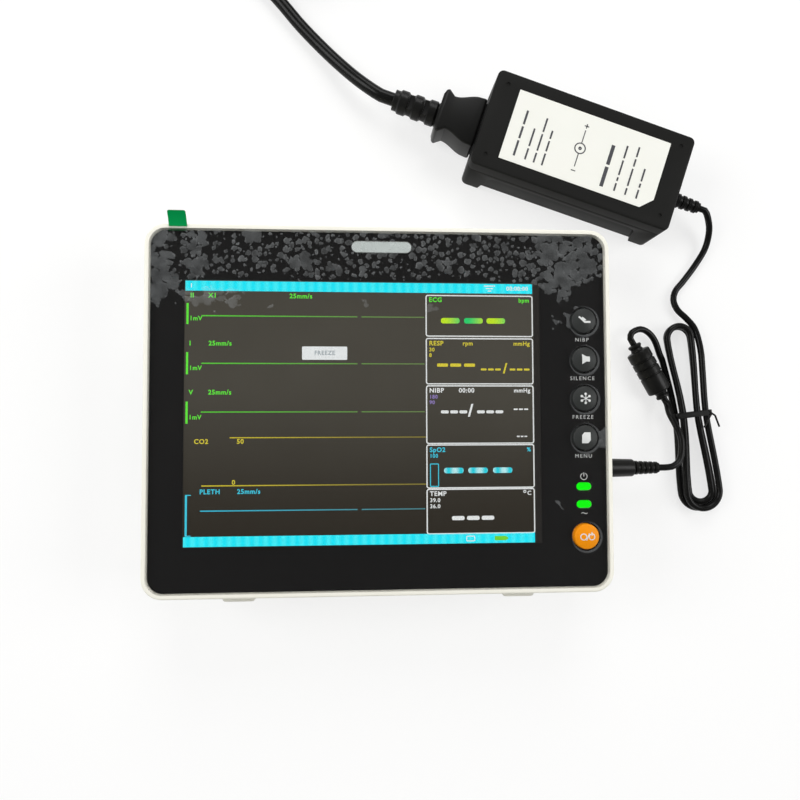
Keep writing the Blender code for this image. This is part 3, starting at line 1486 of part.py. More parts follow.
twist_tie = outlined(
    "twist_tie",
    [
        ring_outline(tie_reach + TIE_THICK, tie_height, TIE_LOW, TIE_CORNER + TIE_THICK),
        ring_outline(tie_reach, tie_height - 2 * TIE_THICK, TIE_LOW + TIE_THICK, TIE_CORNER),
    ],
    -TIE_BAND / 2,
    TIE_BAND / 2,
)
twist_tie.rotation_euler = (math.radians(90), 0.0, HANK_ANGLE + math.radians(90))
twist_tie.location = hank_middle
tail_root = Vector((tie_reach * 0.6, tie_height + TIE_LOW - TIE_THICK / 2, 0.0))
tail_bend = tail_root + TIE_TAIL * Vector((0.45, 0.14, 0.27))
tail_tip = tail_root + TIE_TAIL * Vector((0.5, 0.04, 1.0))
tie_tails = [rod("tail", TIE_THICK, tail_root, tail_bend, 6), rod("tail", TIE_THICK, tail_bend, tail_tip, 6)]
fuse(twist_tie, *tie_tails)
for tool in (step.object for step in twist_tie.modifiers):
    tool.parent = twist_tie
part(twist_tie, VINYL, 0.5)

# Mains adapter, modelled along its own X axis and set down at its place on the table
before_adapter = set(bpy.data.objects)
HALF_LENGTH = ADAPTER_LENGTH / 2
HALF_ADAPTER = ADAPTER_WIDTH / 2
INLET_MIDDLE = INLET_LIFT + INLET_HEIGHT / 2
adapter_base = slab(
    "adapter_base",
    ADAPTER_LENGTH,
    ADAPTER_WIDTH,
    0.0,
    ADAPTER_PARTING,
    corner=ADAPTER_CORNER,
    low_round=ADAPTER_ROUND / 2,
)
base_cavity = slab(
    "base_cavity",
    ADAPTER_LENGTH - 2 * ADAPTER_WALL,
    ADAPTER_WIDTH - 2 * ADAPTER_SIDE,
    ADAPTER_WALL,
    ADAPTER_HEIGHT,
)
SINK_LENGTH = ADAPTER_LENGTH - 2 * EAR_LENGTH
arch_end = SINK_LENGTH / 2 - SIDE_SINK_CORNER
arch_top = SIDE_SINK_TOP - SIDE_SINK_CORNER
side_sinks = []
for side in (-1, 1):
    arch = [
        (-SINK_LENGTH / 2 - EAR_TAPER, -WALL),
        (SINK_LENGTH / 2 + EAR_TAPER, -WALL),
        (SINK_LENGTH / 2, SIDE_SINK_TOP * 0.6),
    ]
    arch += arc((arch_end, arch_top), SIDE_SINK_CORNER, 15, 90)
    arch += arc((-arch_end, arch_top), SIDE_SINK_CORNER, 90, 165)
    arch += [(-SINK_LENGTH / 2, SIDE_SINK_TOP * 0.6)]
    sink = outlined("side_sink", [arch], -SIDE_SINK, SIDE_SINK)
    sink.rotation_euler = (math.radians(90), 0.0, 0.0)
    sink.location = (0.0, side * HALF_ADAPTER, 0.0)
    side_sinks.append(sink)
inlet_slot = slab(
    "inlet_slot",
    2 * ADAPTER_WALL + 2 * LAP,
    INLET_WIDTH + 2 * GAP,
    INLET_LIFT - GAP,
    ADAPTER_HEIGHT,
    centre=(-HALF_LENGTH, 0.0),
)
gland_hole = rod(
    "gland_hole",
    GLAND_RADIUS + GAP,
    (HALF_LENGTH - 3 * ADAPTER_WALL, 0.0, GLAND_HEIGHT),
    (HALF_LENGTH + ADAPTER_WALL, 0.0, GLAND_HEIGHT),
)
carve(adapter_base, base_cavity, *side_sinks, inlet_slot, gland_hole)
part(adapter_base, VINYL, 0.45)

adapter_cover = slab(
    "adapter_cover",
    ADAPTER_LENGTH,
    ADAPTER_WIDTH,
    ADAPTER_PARTING + GAP,
    ADAPTER_HEIGHT,
    corner=ADAPTER_CORNER,
    top_round=ADAPTER_ROUND,
)
cover_cavity = slab(
    "cover_cavity",
    ADAPTER_LENGTH - 2 * ADAPTER_WALL,
    ADAPTER_WIDTH - 2 * ADAPTER_WALL,
    ADAPTER_PARTING - ADAPTER_WALL,
    ADAPTER_HEIGHT - ADAPTER_WALL,
)
LABEL_SINK = GAP + LABEL_THICK


def label_outline(grow):
    """Rectangle of the rating label, with one corner cut off."""
    left = LABEL_X - LABEL_WIDTH / 2 - grow
    right = LABEL_X + LABEL_WIDTH / 2 + grow
    top = LABEL_HEIGHT / 2 + grow
    cut = LABEL_CHAMFER
    return [(left, top), (left, -top), (right - cut, -top), (right, -top + cut), (right, top)]


cover_top = ADAPTER_HEIGHT + WALL
label_recess = outlined("label_recess", [label_outline(GAP)], ADAPTER_HEIGHT - LABEL_SINK, cover_top)
dimple_spots = [
    (side * (HALF_LENGTH - DIMPLE_INSET), end * (HALF_ADAPTER - DIMPLE_INSET))
    for side in (-1, 1)
    for end in (-1, 1)
]
dimple_low = ADAPTER_HEIGHT - DIMPLE_DEPTH
dimples = [
    rod("dimple", DIMPLE_RADIUS, (x, y, dimple_low), (x, y, cover_top), SMALL_SIDES) for x, y in dimple_spots
]
carve(adapter_cover, cover_cavity, label_recess, merge("dimples", dimples))
part(adapter_cover, VINYL, 0.45)
adapter_label = outlined("adapter_label", [label_outline(0.0)], ADAPTER_HEIGHT - LABEL_THICK, ADAPTER_HEIGHT)
part(adapter_label, (0.88, 0.88, 0.84), 0.4)

# Appliance inlet in the left end, with its three pins
INLET_WALL = (INLET_WIDTH - NOSE_WIDTH) / 2 - CABLE_GAP
inlet_back = -HALF_LENGTH + INLET_DEPTH
adapter_inlet = slab(
    "adapter_inlet",
    INLET_DEPTH,
    INLET_WIDTH,
    INLET_LIFT,
    INLET_LIFT + INLET_HEIGHT,
    centre=(-HALF_LENGTH + INLET_DEPTH / 2, 0.0),
)
inlet_recess = slab(
    "inlet_recess",
    NOSE_LENGTH + EDGE + WALL,
    NOSE_WIDTH + 2 * CABLE_GAP,
    INLET_MIDDLE - NOSE_HEIGHT / 2 - CABLE_GAP,
    INLET_MIDDLE + NOSE_HEIGHT / 2 + CABLE_GAP,
    centre=(-HALF_LENGTH + (NOSE_LENGTH + EDGE - WALL) / 2, 0.0),
)
PIN_PLACES = [(-PIN_PITCH, -PIN_RISE), (0.0, PIN_RISE), (PIN_PITCH, -PIN_RISE)]
pin_end = -HALF_LENGTH + NOSE_LENGTH + EDGE


def pins(grow, start, end):
    """Three flat pins, or the slots they go into."""
    return [
        slab(
            "pin",
            end - start,
            PIN_WIDTH + 2 * grow,
            INLET_MIDDLE + rise - PIN_HEIGHT / 2 - grow,
            INLET_MIDDLE + rise + PIN_HEIGHT / 2 + grow,
            centre=((start + end) / 2, y),
        )
        for y, rise in PIN_PLACES
    ]


carve(adapter_inlet, inlet_recess)
fuse(adapter_inlet, merge("pins", pins(0.0, pin_end - PIN_LENGTH, pin_end + LAP)))
part(adapter_inlet, BLACK, 0.4)

# Circuit board of the adapter, with its transformer and capacitor
ADAPTER_BOARD_LOW = ADAPTER_WALL + GAP
board_start = inlet_back + GAP
board_end = HALF_LENGTH - ADAPTER_WALL - GLAND_FLANGE - BOARD_END_ROOM
adapter_board = slab(
    "adapter_board",
    board_end - board_start,
    ADAPTER_WIDTH - 2 * ADAPTER_SIDE - 2 * GAP,
    ADAPTER_BOARD_LOW,
    ADAPTER_BOARD_LOW + BOARD,
    centre=((board_start + board_end) / 2, 0.0),
)
transformer = slab(
    "transformer",
    TRANSFORMER_LENGTH,
    TRANSFORMER_WIDTH,
    ADAPTER_BOARD_LOW + BOARD / 2,
    ADAPTER_PARTING - 2 * EDGE,
    centre=((board_start + board_end) / 2 + TRANSFORMER_SHIFT, 0.0),
)
capacitor = rod(
    "capacitor",
    CAPACITOR_RADIUS,
    (board_start + CAPACITOR_INSET, 0.0, ADAPTER_BOARD_LOW + BOARD / 2),
    (board_start + CAPACITOR_INSET, 0.0, ADAPTER_PARTING - EDGE),
    SMALL_SIDES,
)
fuse(adapter_board, transformer, capacitor)
part(adapter_board, BOARD_GREEN, 0.5)

# Ribbed gland that the direct-current lead leaves by, with a flange inside the end wall
gland_inside = -ADAPTER_WALL - GAP
gland_points = [
    (GLAND_RADIUS + GLAND_FLANGE, gland_inside - GLAND_FLANGE),
    (GLAND_RADIUS + GLAND_FLANGE, gland_inside),
    (GLAND_RADIUS, gland_inside),
]
gland_points += ribbed(
    GLAND_ROOT, GLAND_LENGTH - GLAND_ROOT, GLAND_RADIUS, GLAND_TIP_RADIUS, RELIEF_RIBS, RELIEF_GROOVE
)
gland_profile = [(0.0, GLAND_LENGTH)] + gland_points[::-1] + [(0.0, gland_inside - GLAND_FLANGE)]
adapter_gland = turned("adapter_gland", gland_profile, RIB_SIDES)
face(adapter_gland, (1, 0, 0), (HALF_LENGTH, 0.0, GLAND_HEIGHT))
part(adapter_gland, VINYL, 0.5)

# Coupler of the mains lead: a moulded head with a collar, a nose in the inlet and a ribbed sleeve
head_front = -HALF_LENGTH - CABLE_GAP
head_back = head_front - HEAD_LENGTH
collar_front = head_back + COLLAR_LENGTH
neck = collar_front + LAP
flare_length = head_front - HEAD_LIP - neck
flare_rise = (HEAD_WIDTH - HEAD_NECK) / 2
half_head = [(HEAD_COLLAR / 2, head_back), (HEAD_COLLAR / 2, collar_front)]
half_head += [(HEAD_NECK / 2 + flare_rise * soft_step(i / 6), neck + flare_length * i / 6) for i in range(7)]
half_head += [(HEAD_WIDTH / 2, head_front)]
head_outline = [(x, half) for half, x in half_head] + [(x, -half) for half, x in half_head[::-1]]
mains_connector = outlined("mains_connector", [head_outline], INLET_LIFT, INLET_LIFT + INLET_HEIGHT)
soften = mains_connector.modifiers.new("soften", "BEVEL")
soften.width = HEAD_ROUND
soften.segments = 2
soften.limit_method = "ANGLE"
soften.angle_limit = math.radians(50)
nose = slab(
    "nose",
    NOSE_LENGTH + LAP,
    NOSE_WIDTH,
    INLET_MIDDLE - NOSE_HEIGHT / 2,
    INLET_MIDDLE + NOSE_HEIGHT / 2,
    centre=(head_front + CABLE_GAP + NOSE_LENGTH / 2 - LAP / 2, 0.0),
)
sleeve_points = [(SLEEVE_RADIUS, -LAP), (SLEEVE_RADIUS, SLEEVE_ROOT)]
rib_start = SLEEVE_ROOT + SLEEVE_ROOT_GROOVE
sleeve_points += [(SLEEVE_RADIUS - SLEEVE_GROOVE, SLEEVE_ROOT), (SLEEVE_RADIUS - SLEEVE_GROOVE, rib_start)]
sleeve_points += ribbed(
    rib_start, SLEEVE_LENGTH - rib_start, SLEEVE_RADIUS, SLEEVE_TIP_RADIUS, SLEEVE_RIBS, SLEEVE_GROOVE
)
sleeve_profile = [(0.0, SLEEVE_LENGTH)] + sleeve_points[::-1] + [(0.0, -LAP)]
sleeve = face(turned("sleeve", sleeve_profile, RIB_SIDES), (-1, 0, 0), (head_back, 0.0, INLET_MIDDLE))
fuse(mains_connector, nose, sleeve)
carve(mains_connector, merge("pin_slots", pins(CABLE_GAP, head_front - 2 * LAP, pin_end)))
part(mains_connector, VINYL, 0.5)

adapter_place = bpy.data.objects.new("adapter_place", None)
PARTS.objects.link(adapter_place)
adapter_place.location = (ADAPTER_X, ADAPTER_Y, 0.0)
adapter_place.rotation_euler = (0.0, 0.0, ADAPTER_ANGLE)
for piece in set(bpy.data.objects) - before_adapter - {adapter_place}:
    piece.parent = adapter_place
adapter_along = Vector((math.cos(ADAPTER_ANGLE), math.sin(ADAPTER_ANGLE), 0.0))
adapter_middle = Vector((ADAPTER_X, ADAPTER_Y, 0.0))

# Lead from the hank up to the adapter's gland
gland_tip = adapter_middle + adapter_along * (HALF_LENGTH + GLAND_LENGTH + GAP)
gland_tip.z = GLAND_HEIGHT
run_start = hank_end + hank_tail * GAP
adapter_route = [
    run_start,
    run_start + hank_tail * 2 * LEAD_RADIUS,
    Vector((0.1742, 0.0375, 0.0053)),
    Vector((0.1721, 0.0455, 0.0044)),
    Vector((0.1679, 0.0511, 0.0036)),
    Vector((0.1636, 0.0556, 0.0029)),
    Vector((0.1617, 0.0609, 0.0024)),
    Vector((0.1631, 0.0663, 0.0021)),
    Vector((0.1674, 0.0714, 0.0020)),
    Vector((0.1741, 0.0801, 0.0022)),
    Vector((0.1795, 0.0895, 0.0037)),
    Vector((0.1803, 0.0982, 0.0072)),
    Vector((0.1780, 0.1045, 0.0106)),
    gland_tip + adapter_along * 2 * LEAD_RADIUS,
    gland_tip,
]
tube("dc_lead_adapter_run", flow(adapter_route, 4 * LEAD_RADIUS), LEAD_RADIUS, 2)

# Mains lead from the coupler to the coil
MAINS_REST = MAINS_RADIUS + TABLE_GAP
coil_middle = Vector((COIL_X, COIL_Y, 0.0))
COIL_LIFT = TIE_THICK + GAP


def coil_point(done):
    """A point of the coil after so many turns, clockwise from above, lifted where the tie goes under it."""
    inwards, layer = wound(COIL_TURNS, done)
    radius = COIL_RADIUS - COIL_STEP * inwards
    turn = COIL_START - 2 * math.pi * done
    lift = COIL_LIFT * max(0.0, math.cos(turn - COIL_TIE_ANGLE)) ** 12
    height = MAINS_REST + lift + COIL_LAYER * layer
    return coil_middle + Vector((radius * math.cos(turn), radius * math.sin(turn), height))


coil_steps = round(COIL_TURNS * LOOP_POINTS)
coil_turns = [coil_point(COIL_TURNS * i / coil_steps) for i in range(coil_steps + 1)]
coil_head = (coil_turns[1] - coil_turns[0]).normalized()
coil_tail = (coil_turns[-1] - coil_turns[-2]).normalized()
coil_start = coil_turns[0] - coil_head * 2 * MAINS_RADIUS
coil_end = coil_turns[-1] + coil_tail * 2 * MAINS_RADIUS
coil_points = [coil_start] + coil_turns + [coil_end]
tube("mains_coil", coil_points, MAINS_RADIUS, 1)
print("least gap of the coil, mm:", round(least_gap(coil_points, MAINS_RADIUS) / MM, 2))

sleeve_tip = adapter_middle - adapter_along * (-head_back + SLEEVE_LENGTH + GAP)
sleeve_tip.z = INLET_MIDDLE
lead_end = coil_start - coil_head * GAP
mains_route = [
    sleeve_tip,
    sleeve_tip - adapter_along * 2 * MAINS_RADIUS,
    Vector((-0.0085, 0.1737, 0.0100)),
    Vector((-0.0180, 0.1830, 0.0066)),
    Vector((-0.0290, 0.1943, 0.0042)),
    Vector((-0.0410, 0.2070, 0.0035)),
    Vector((-0.0520, 0.2200, 0.0035)),
    lead_end.lerp(Vector((-0.0520, 0.2200, 0.0035)), 0.5),
    lead_end - coil_head * 2 * MAINS_RADIUS,
    lead_end,
]
tube("mains_lead", flow(mains_route, 5 * MAINS_RADIUS), MAINS_RADIUS, 3)

# Band that holds the coil together
inner_turn = COIL_RADIUS - COIL_STEP * (COIL_TURNS - 0.5) / 2
coil_half = (COIL_RADIUS - inner_turn) / 2 + MAINS_RADIUS + CABLE_GAP
coil_tie_height = COIL_LAYER + 2 * MAINS_RADIUS + COIL_LIFT + 2 * TIE_THICK + 2 * GAP
coil_tie = outlined(
    "coil_tie",
    [
        ring_outline(coil_half + TIE_THICK, coil_tie_height, TIE_LOW, TIE_CORNER + TIE_THICK),
        ring_outline(coil_half, coil_tie_height - 2 * TIE_THICK, TIE_LOW + TIE_THICK, TIE_CORNER),
    ],
    -TIE_BAND,
    TIE_BAND,
)
coil_tie.rotation_euler = (math.radians(90), 0.0, COIL_TIE_ANGLE)
tie_arm = (COIL_RADIUS + inner_turn) / 2
coil_tie.location = coil_middle + Vector((math.cos(COIL_TIE_ANGLE), math.sin(COIL_TIE_ANGLE), 0.0)) * tie_arm
part(coil_tie, VINYL, 0.5)

# Mains plug at the end of the lead: a moulded body with two blades and an earth pin
PLUG_MIDDLE = coil_turns[-1].z
plug_body = slab(
    "mains_plug",
    MAINS_PLUG_WIDTH,
    MAINS_PLUG_HEIGHT,
    0.0,
    MAINS_PLUG_LENGTH,
    corner=MAINS_PLUG_CORNER,
    top_round=EDGE,
    low_round=MAINS_PLUG_ROUND,
)
plug_sleeve_points = ribbed(0.0, SLEEVE_LENGTH, SLEEVE_RADIUS, SLEEVE_TIP_RADIUS, SLEEVE_RIBS, SLEEVE_GROOVE)
plug_sleeve_points = [(0.0, -LAP), (SLEEVE_RADIUS, -LAP)] + plug_sleeve_points
plug_sleeve_profile = [(0.0, SLEEVE_LENGTH)] + plug_sleeve_points[::-1]
plug_sleeve = turned("plug_sleeve", plug_sleeve_profile, RIB_SIDES)
plug_sleeve.rotation_euler = (math.radians(180), 0.0, 0.0)
blades = [
    slab(
        "blade",
        BLADE_THICK,
        BLADE_WIDTH,
        MAINS_PLUG_LENGTH - LAP,
        MAINS_PLUG_LENGTH + BLADE_LENGTH,
        centre=(side * BLADE_PITCH / 2, BLADE_RISE),
    )
    for side in (-1, 1)
]
earth_y = BLADE_RISE - EARTH_PIN_DROP
earth_pin = rod(
    "earth_pin",
    EARTH_PIN_RADIUS,
    (0.0, earth_y, MAINS_PLUG_LENGTH - LAP),
    (0.0, earth_y, MAINS_PLUG_LENGTH + BLADE_LENGTH + LAP),
    SMALL_SIDES,
)
fuse(plug_body, plug_sleeve, merge("blades", blades + [earth_pin]))
plug_body.rotation_euler = coil_tail.to_track_quat("Z", "Y").to_euler()
for tool in (step.object for step in plug_body.modifiers):
    tool.parent = plug_body
plug_body.location = coil_end + coil_tail * (GAP + SLEEVE_LENGTH)
part(plug_body, VINYL, 0.5)
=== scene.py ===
"""The looks of a bedside patient monitor lying on its back, with its mains adapter and leads.

Sizes and places are in millimetres. MM turns them into the metres that Blender takes.
"""

import math

import bmesh
import bpy
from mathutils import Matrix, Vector


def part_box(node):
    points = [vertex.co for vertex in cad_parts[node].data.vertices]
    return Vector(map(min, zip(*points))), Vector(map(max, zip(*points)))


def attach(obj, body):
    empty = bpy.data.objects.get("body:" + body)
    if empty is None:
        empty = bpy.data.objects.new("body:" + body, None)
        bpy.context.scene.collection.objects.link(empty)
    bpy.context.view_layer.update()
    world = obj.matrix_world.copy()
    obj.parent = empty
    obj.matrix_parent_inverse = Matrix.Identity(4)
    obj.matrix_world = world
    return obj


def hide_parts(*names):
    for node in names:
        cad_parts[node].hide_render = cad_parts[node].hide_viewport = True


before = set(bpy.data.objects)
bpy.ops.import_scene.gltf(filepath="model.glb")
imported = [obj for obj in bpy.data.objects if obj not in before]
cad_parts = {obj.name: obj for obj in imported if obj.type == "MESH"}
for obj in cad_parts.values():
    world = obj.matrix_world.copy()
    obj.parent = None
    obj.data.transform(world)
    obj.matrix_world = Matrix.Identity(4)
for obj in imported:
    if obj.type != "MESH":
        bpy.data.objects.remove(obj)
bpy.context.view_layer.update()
MM = 0.001

# Camera: held by hand over the monitor, a little left of its middle and tipped a few degrees.
# A phone's wide lens, so the near housing looks larger than the leads on the table.
camera_data = bpy.data.cameras.new("camera")
camera_data.lens = 32.99
camera_data.sensor_width = 36
camera = bpy.data.objects.new("camera", camera_data)
camera.location = Vector((-15.7, -11.3, 388.5)) * MM
camera.rotation_euler = [math.radians(angle) for angle in (2.66, -4.05, -0.215)]
bpy.context.scene.collection.objects.link(camera)
bpy.context.scene.camera = camera
bpy.context.scene.view_settings.view_transform = "Standard"


# Table: matt white paper, as wide as a studio sweep.
# It shows white to the camera and in reflections, and keeps some of the object's soft shadow.
def linear(code):
    """The linear colour of an sRGB hex code, opaque."""
    channels = [int(code[i : i + 2], 16) / 255 for i in (0, 2, 4)]
    return (*[c / 12.92 if c <= 0.04045 else ((c + 0.055) / 1.055) ** 2.4 for c in channels], 1.0)


def feed(tree, node, inputs):
    """Sets inputs of a node. An input is a value, or the output that feeds it."""
    for socket, value in inputs.items():
        if isinstance(value, bpy.types.NodeSocket):
            tree.links.new(value, node.inputs[socket])
        else:
            node.inputs[socket].default_value = value


def add(tree, kind, inputs=None, output=0, **settings):
    """Adds a node with its settings and inputs, and gives one of its outputs."""
    node = tree.nodes.new(f"ShaderNode{kind}")
    for name, value in settings.items():
        setattr(node, name, value)
    feed(tree, node, inputs or {})
    return node.outputs[output]


def blank(name):
    """A new material, its node tree, its Principled shader and the coordinates that its patterns read."""
    material = bpy.data.materials.new(name)
    material.use_nodes = True
    tree = material.node_tree
    return material, tree, tree.nodes["Principled BSDF"], add(tree, "TexCoord", output="Object")


TABLE_SIZE = 6000
TABLE_MIDDLE = Vector((0, 100, -0.2))
PAPER_SHADE_KEPT = 0.3
bpy.ops.object.select_all(action="DESELECT")
bpy.ops.mesh.primitive_plane_add(size=TABLE_SIZE * MM, location=TABLE_MIDDLE * MM)
table = bpy.context.object
table.name = "table"
paper, tree, shader, _ = blank("matt white paper")
feed(tree, shader, {"Base Color": linear("F6F6F4"), "Roughness": 0.9, "Specular IOR Level": 0.1})
glow = add(tree, "Emission", {"Color": (1, 1, 1, 1), "Strength": 1.0})
rays = add(tree, "LightPath").node.outputs
seen = rays["Is Camera Ray"]
for kind_of_ray in ("Is Glossy Ray", "Is Transmission Ray"):
    seen = add(tree, "Math", {0: seen, 1: rays[kind_of_ray]}, operation="MAXIMUM")
white_share = add(tree, "Math", {0: seen, 1: 1 - PAPER_SHADE_KEPT}, operation="MULTIPLY")
surface = add(tree, "MixShader", {0: white_share, 1: shader.outputs[0], 2: glow})
feed(tree, tree.nodes["Material Output"], {"Surface": surface})
table.data.materials.append(paper)

# Light: two large soft boxes left and right of the table, a weaker one behind it, and a white room.
# The ceiling stays dim, so that the black front doesn't mirror it.
BOX_SIZE = 900
BOXES_LOOK_AT = Vector((30, 60, 0))
SOFT_BOXES = [
    ("left soft box", (-1300, 300, 1100), 16.5),
    ("right soft box", (1350, 100, 1100), 14.5),
    ("rear soft box", (100, 1500, 1200), 13.0),
]
CEILING = 0.22
WALLS = 0.6
WALLS_END = 0.15
CEILING_START = 0.6
for name, place, watts in SOFT_BOXES:
    lamp = bpy.data.lights.new(name, "AREA")
    lamp.size = BOX_SIZE * MM
    lamp.energy = watts
    light = bpy.data.objects.new(name, lamp)
    light.location = Vector(place) * MM
    light.rotation_euler = (BOXES_LOOK_AT - Vector(place)).to_track_quat("-Z", "Y").to_euler()
    bpy.context.scene.collection.objects.link(light)
world = bpy.data.worlds.new("white room")
bpy.context.scene.world = world
world.use_nodes = True
tree = world.node_tree
height = add(tree, "SeparateXYZ", {0: add(tree, "TexCoord", output="Generated")}, "Z")
level = {"Value": height, "From Min": WALLS_END, "From Max": CEILING_START}
level = add(tree, "MapRange", level | {"To Min": WALLS, "To Max": CEILING})
feed(tree, tree.nodes["Background"], {"Strength": level, "Color": (1, 1, 1, 1)})

# Direct-current lead: a thin vinyl two-core lead, drawn from the plug at the monitor, through a moulded
# ferrite core and a hank held by a tie, to the adapter's gland. Its route is the one of the solids.
LEAD_RADIUS = 1.7
LEAD_STRAIGHT = 2 * LEAD_RADIUS
END_GAP = 0.3
PLUG_TIP = Vector((145.7, -29.3, 16.0))
PLUG_BENDS = [(153.6, -28.6, 15.8), (157.4, -25.6, 15.0), (159.1, -20.0, 14.0), (159.2, -13.5, 13.0)]
PLUG_BENDS += [(157.0, -7.0, 11.8), (154.8, -1.0, 9.8)]
CORE_MIDDLE = Vector((145.4, 21.8, 6.25))
CORE_ANGLE = math.radians(119.2)
CORE_ALONG = Vector((math.cos(CORE_ANGLE), math.sin(CORE_ANGLE), 0.0))
CORE_REACH = 16.55
BOW_BENDS = [(136.7, 42.7, 6.2), (141.8, 44.6, 5.6), (146.8, 42.5, 4.6), (150.5, 38.0, 3.6)]
BOW_BENDS.append((153.3, 31.0, 2.6))
HANK_MIDDLE = Vector((168.6, -1.5, 0.0))
HANK_ANGLE = math.radians(97)
HANK_TURNS = 2.607
HANK_START = 0.19
HANK_LENGTH = 104
HANK_WAIST = 7.8
HANK_LOBE = 10.4
HANK_STEP = 4.7
HANK_LOW = 1.75
HANK_LIFT = 1.1
HANK_LAYER = 4.2
SOLID_POINTS = 24
DRAWN_POINTS = 72
ADAPTER_MIDDLE = Vector((103.8, 132.0, 0.0))
ADAPTER_ANGLE = math.radians(-18.4)
ADAPTER_ALONG = Vector((math.cos(ADAPTER_ANGLE), math.sin(ADAPTER_ANGLE), 0.0))
GLAND_TIP = ADAPTER_MIDDLE + ADAPTER_ALONG * 72.3 + Vector((0.0, 0.0, 12.0))
GLAND_BENDS = [(174.2, 37.5, 5.3), (172.1, 45.5, 4.4), (167.9, 51.1, 3.6), (163.6, 55.6, 2.9)]
GLAND_BENDS += [(161.7, 60.9, 2.4), (163.1, 66.3, 2.1), (167.4, 71.4, 2.0), (174.1, 80.1, 2.2)]
GLAND_BENDS += [(179.5, 89.5, 3.7), (180.3, 98.2, 7.2), (178.0, 104.5, 10.6)]


def flow(points, step):
    """Points about a step apart on a smooth curve through a route. Its end stretches stay straight."""
    route = [Vector(p) for p in points]
    fine = []
    for a, b, c, d in zip(route, route[1:], route[2:], route[3:]):
        for i in range(20):
            t = i / 20
            bend = (c - a) * t + (2 * a - 5 * b + 4 * c - d) * t**2 + (3 * b - a - 3 * c + d) * t**3
            fine.append(b + bend / 2)
    spaced = [fine[0]]
    travelled = 0.0
    for before, after in zip(fine, fine[1:]):
        travelled += (after - before).length
        if travelled >= step:
            spaced.append(after)
            travelled = 0.0
    if (spaced[-1] - route[-2]).length < step / 2:
        spaced.pop()
    return [route[0]] + spaced + [route[-2], route[-1]]


def soft_step(share):
    """0 to 1 with level ends."""
    share = min(max(share, 0.0), 1.0)
    return share * share * (3 - 2 * share)


def wound(turns, done):
    """How far in a two-layer winding is, in turns from its outside, and its layer from 0 to 1."""
    one_way = (turns - 0.5) / 2
    inwards = min(done, one_way) - max(0.0, done - one_way - 0.5)
    return inwards, soft_step((done - one_way) / 0.5)


def hank_point(done):
    """A point of the hank after so many turns, counted from the tip of its upper fold.

    Half a turn is the second half of a round fold, a run drawn in at the waist, where the tie lifts
    it, and the first half of the other fold, a third of the half turn each.
    """
    inwards, layer = wound(HANK_TURNS, done)
    lobe = HANK_LOBE - HANK_STEP * inwards
    waist = HANK_WAIST - HANK_STEP * inwards
    fold = HANK_LENGTH / 2 - HANK_LOBE
    half_turns, share = divmod(2 * (HANK_START + done), 1)
    side = -1 if half_turns % 2 else 1
    slide = min(max(3 - 6 * share, -1), 1)
    bend = math.pi / 2 * (3 * share - 0.5 + slide / 2)
    along = side * (fold * slide + lobe * math.cos(bend))
    across = side * (lobe * math.sin(bend) - (lobe - waist) * (1 - soft_step(abs(slide))))
    height = HANK_LOW + HANK_LIFT * soft_step((1 - abs(slide)) / 0.75) + HANK_LAYER * layer
    x = along * math.cos(HANK_ANGLE) - across * math.sin(HANK_ANGLE)
    y = along * math.sin(HANK_ANGLE) + across * math.cos(HANK_ANGLE)
    return HANK_MIDDLE + Vector((x, y, height))


def winding(point, turns):
    """The drawn points of a winding, and its second point, start and end direction by the solids' chords."""
    steps = round(turns * DRAWN_POINTS)
    points = [point(turns * i / steps) for i in range(steps + 1)]
    chord = turns / round(turns * SOLID_POINTS)
    head = (point(chord) - point(0)).normalized()
    tail = (point(turns) - point(turns - chord)).normalized()
    return points, point(chord), head, tail


def lead(name, points, radius, material, *nodes):
    """A round lead along its points, in place of the solids of its route."""
    curve = bpy.data.curves.new(name, "CURVE")
    curve.dimensions = "3D"
    curve.bevel_depth = radius * MM
    curve.bevel_resolution = 5
    curve.use_fill_caps = True
    spline = curve.splines.new("POLY")
    spline.points.add(len(points) - 1)
    for point, place in zip(spline.points, points):
        point.co = (*(place * MM), 1.0)
    spline.use_smooth = True
    piece = bpy.data.objects.new(name, curve)
    bpy.context.scene.collection.objects.link(piece)
    curve.materials.append(material)
    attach(piece, "housing")
    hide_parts(*nodes)
    return piece


CLOUD_SIZE = 25
GLOSS_SPREAD = 0.06


def moulded(name, colour, shade, roughness, grain, relief, ior=1.5, specular=0.5):
    """A moulded plastic: two close tones in soft clouds, and an even grain of a size and relief."""
    material, tree, shader, where = blank(name)
    clouds = add(tree, "TexNoise", {"Vector": where, "Scale": 1 / (CLOUD_SIZE * MM), "Detail": 4.0})
    tone = add(tree, "Mix", {0: clouds, 6: linear(colour), 7: linear(shade)}, data_type="RGBA", output=2)
    pits = add(tree, "TexNoise", {"Vector": where, "Scale": 1 / (grain * MM), "Detail": 2.0})
    bump = add(tree, "Bump", {"Height": pits, "Distance": relief * MM, "Strength": 0.6})
    gloss = {"Value": clouds, "To Min": roughness - GLOSS_SPREAD, "To Max": roughness + GLOSS_SPREAD}
    gloss = add(tree, "MapRange", gloss)
    feed(tree, shader, {"Base Color": tone, "Roughness": gloss, "Normal": bump})
    feed(tree, shader, {"IOR": ior, "Specular IOR Level": specular})
    return material


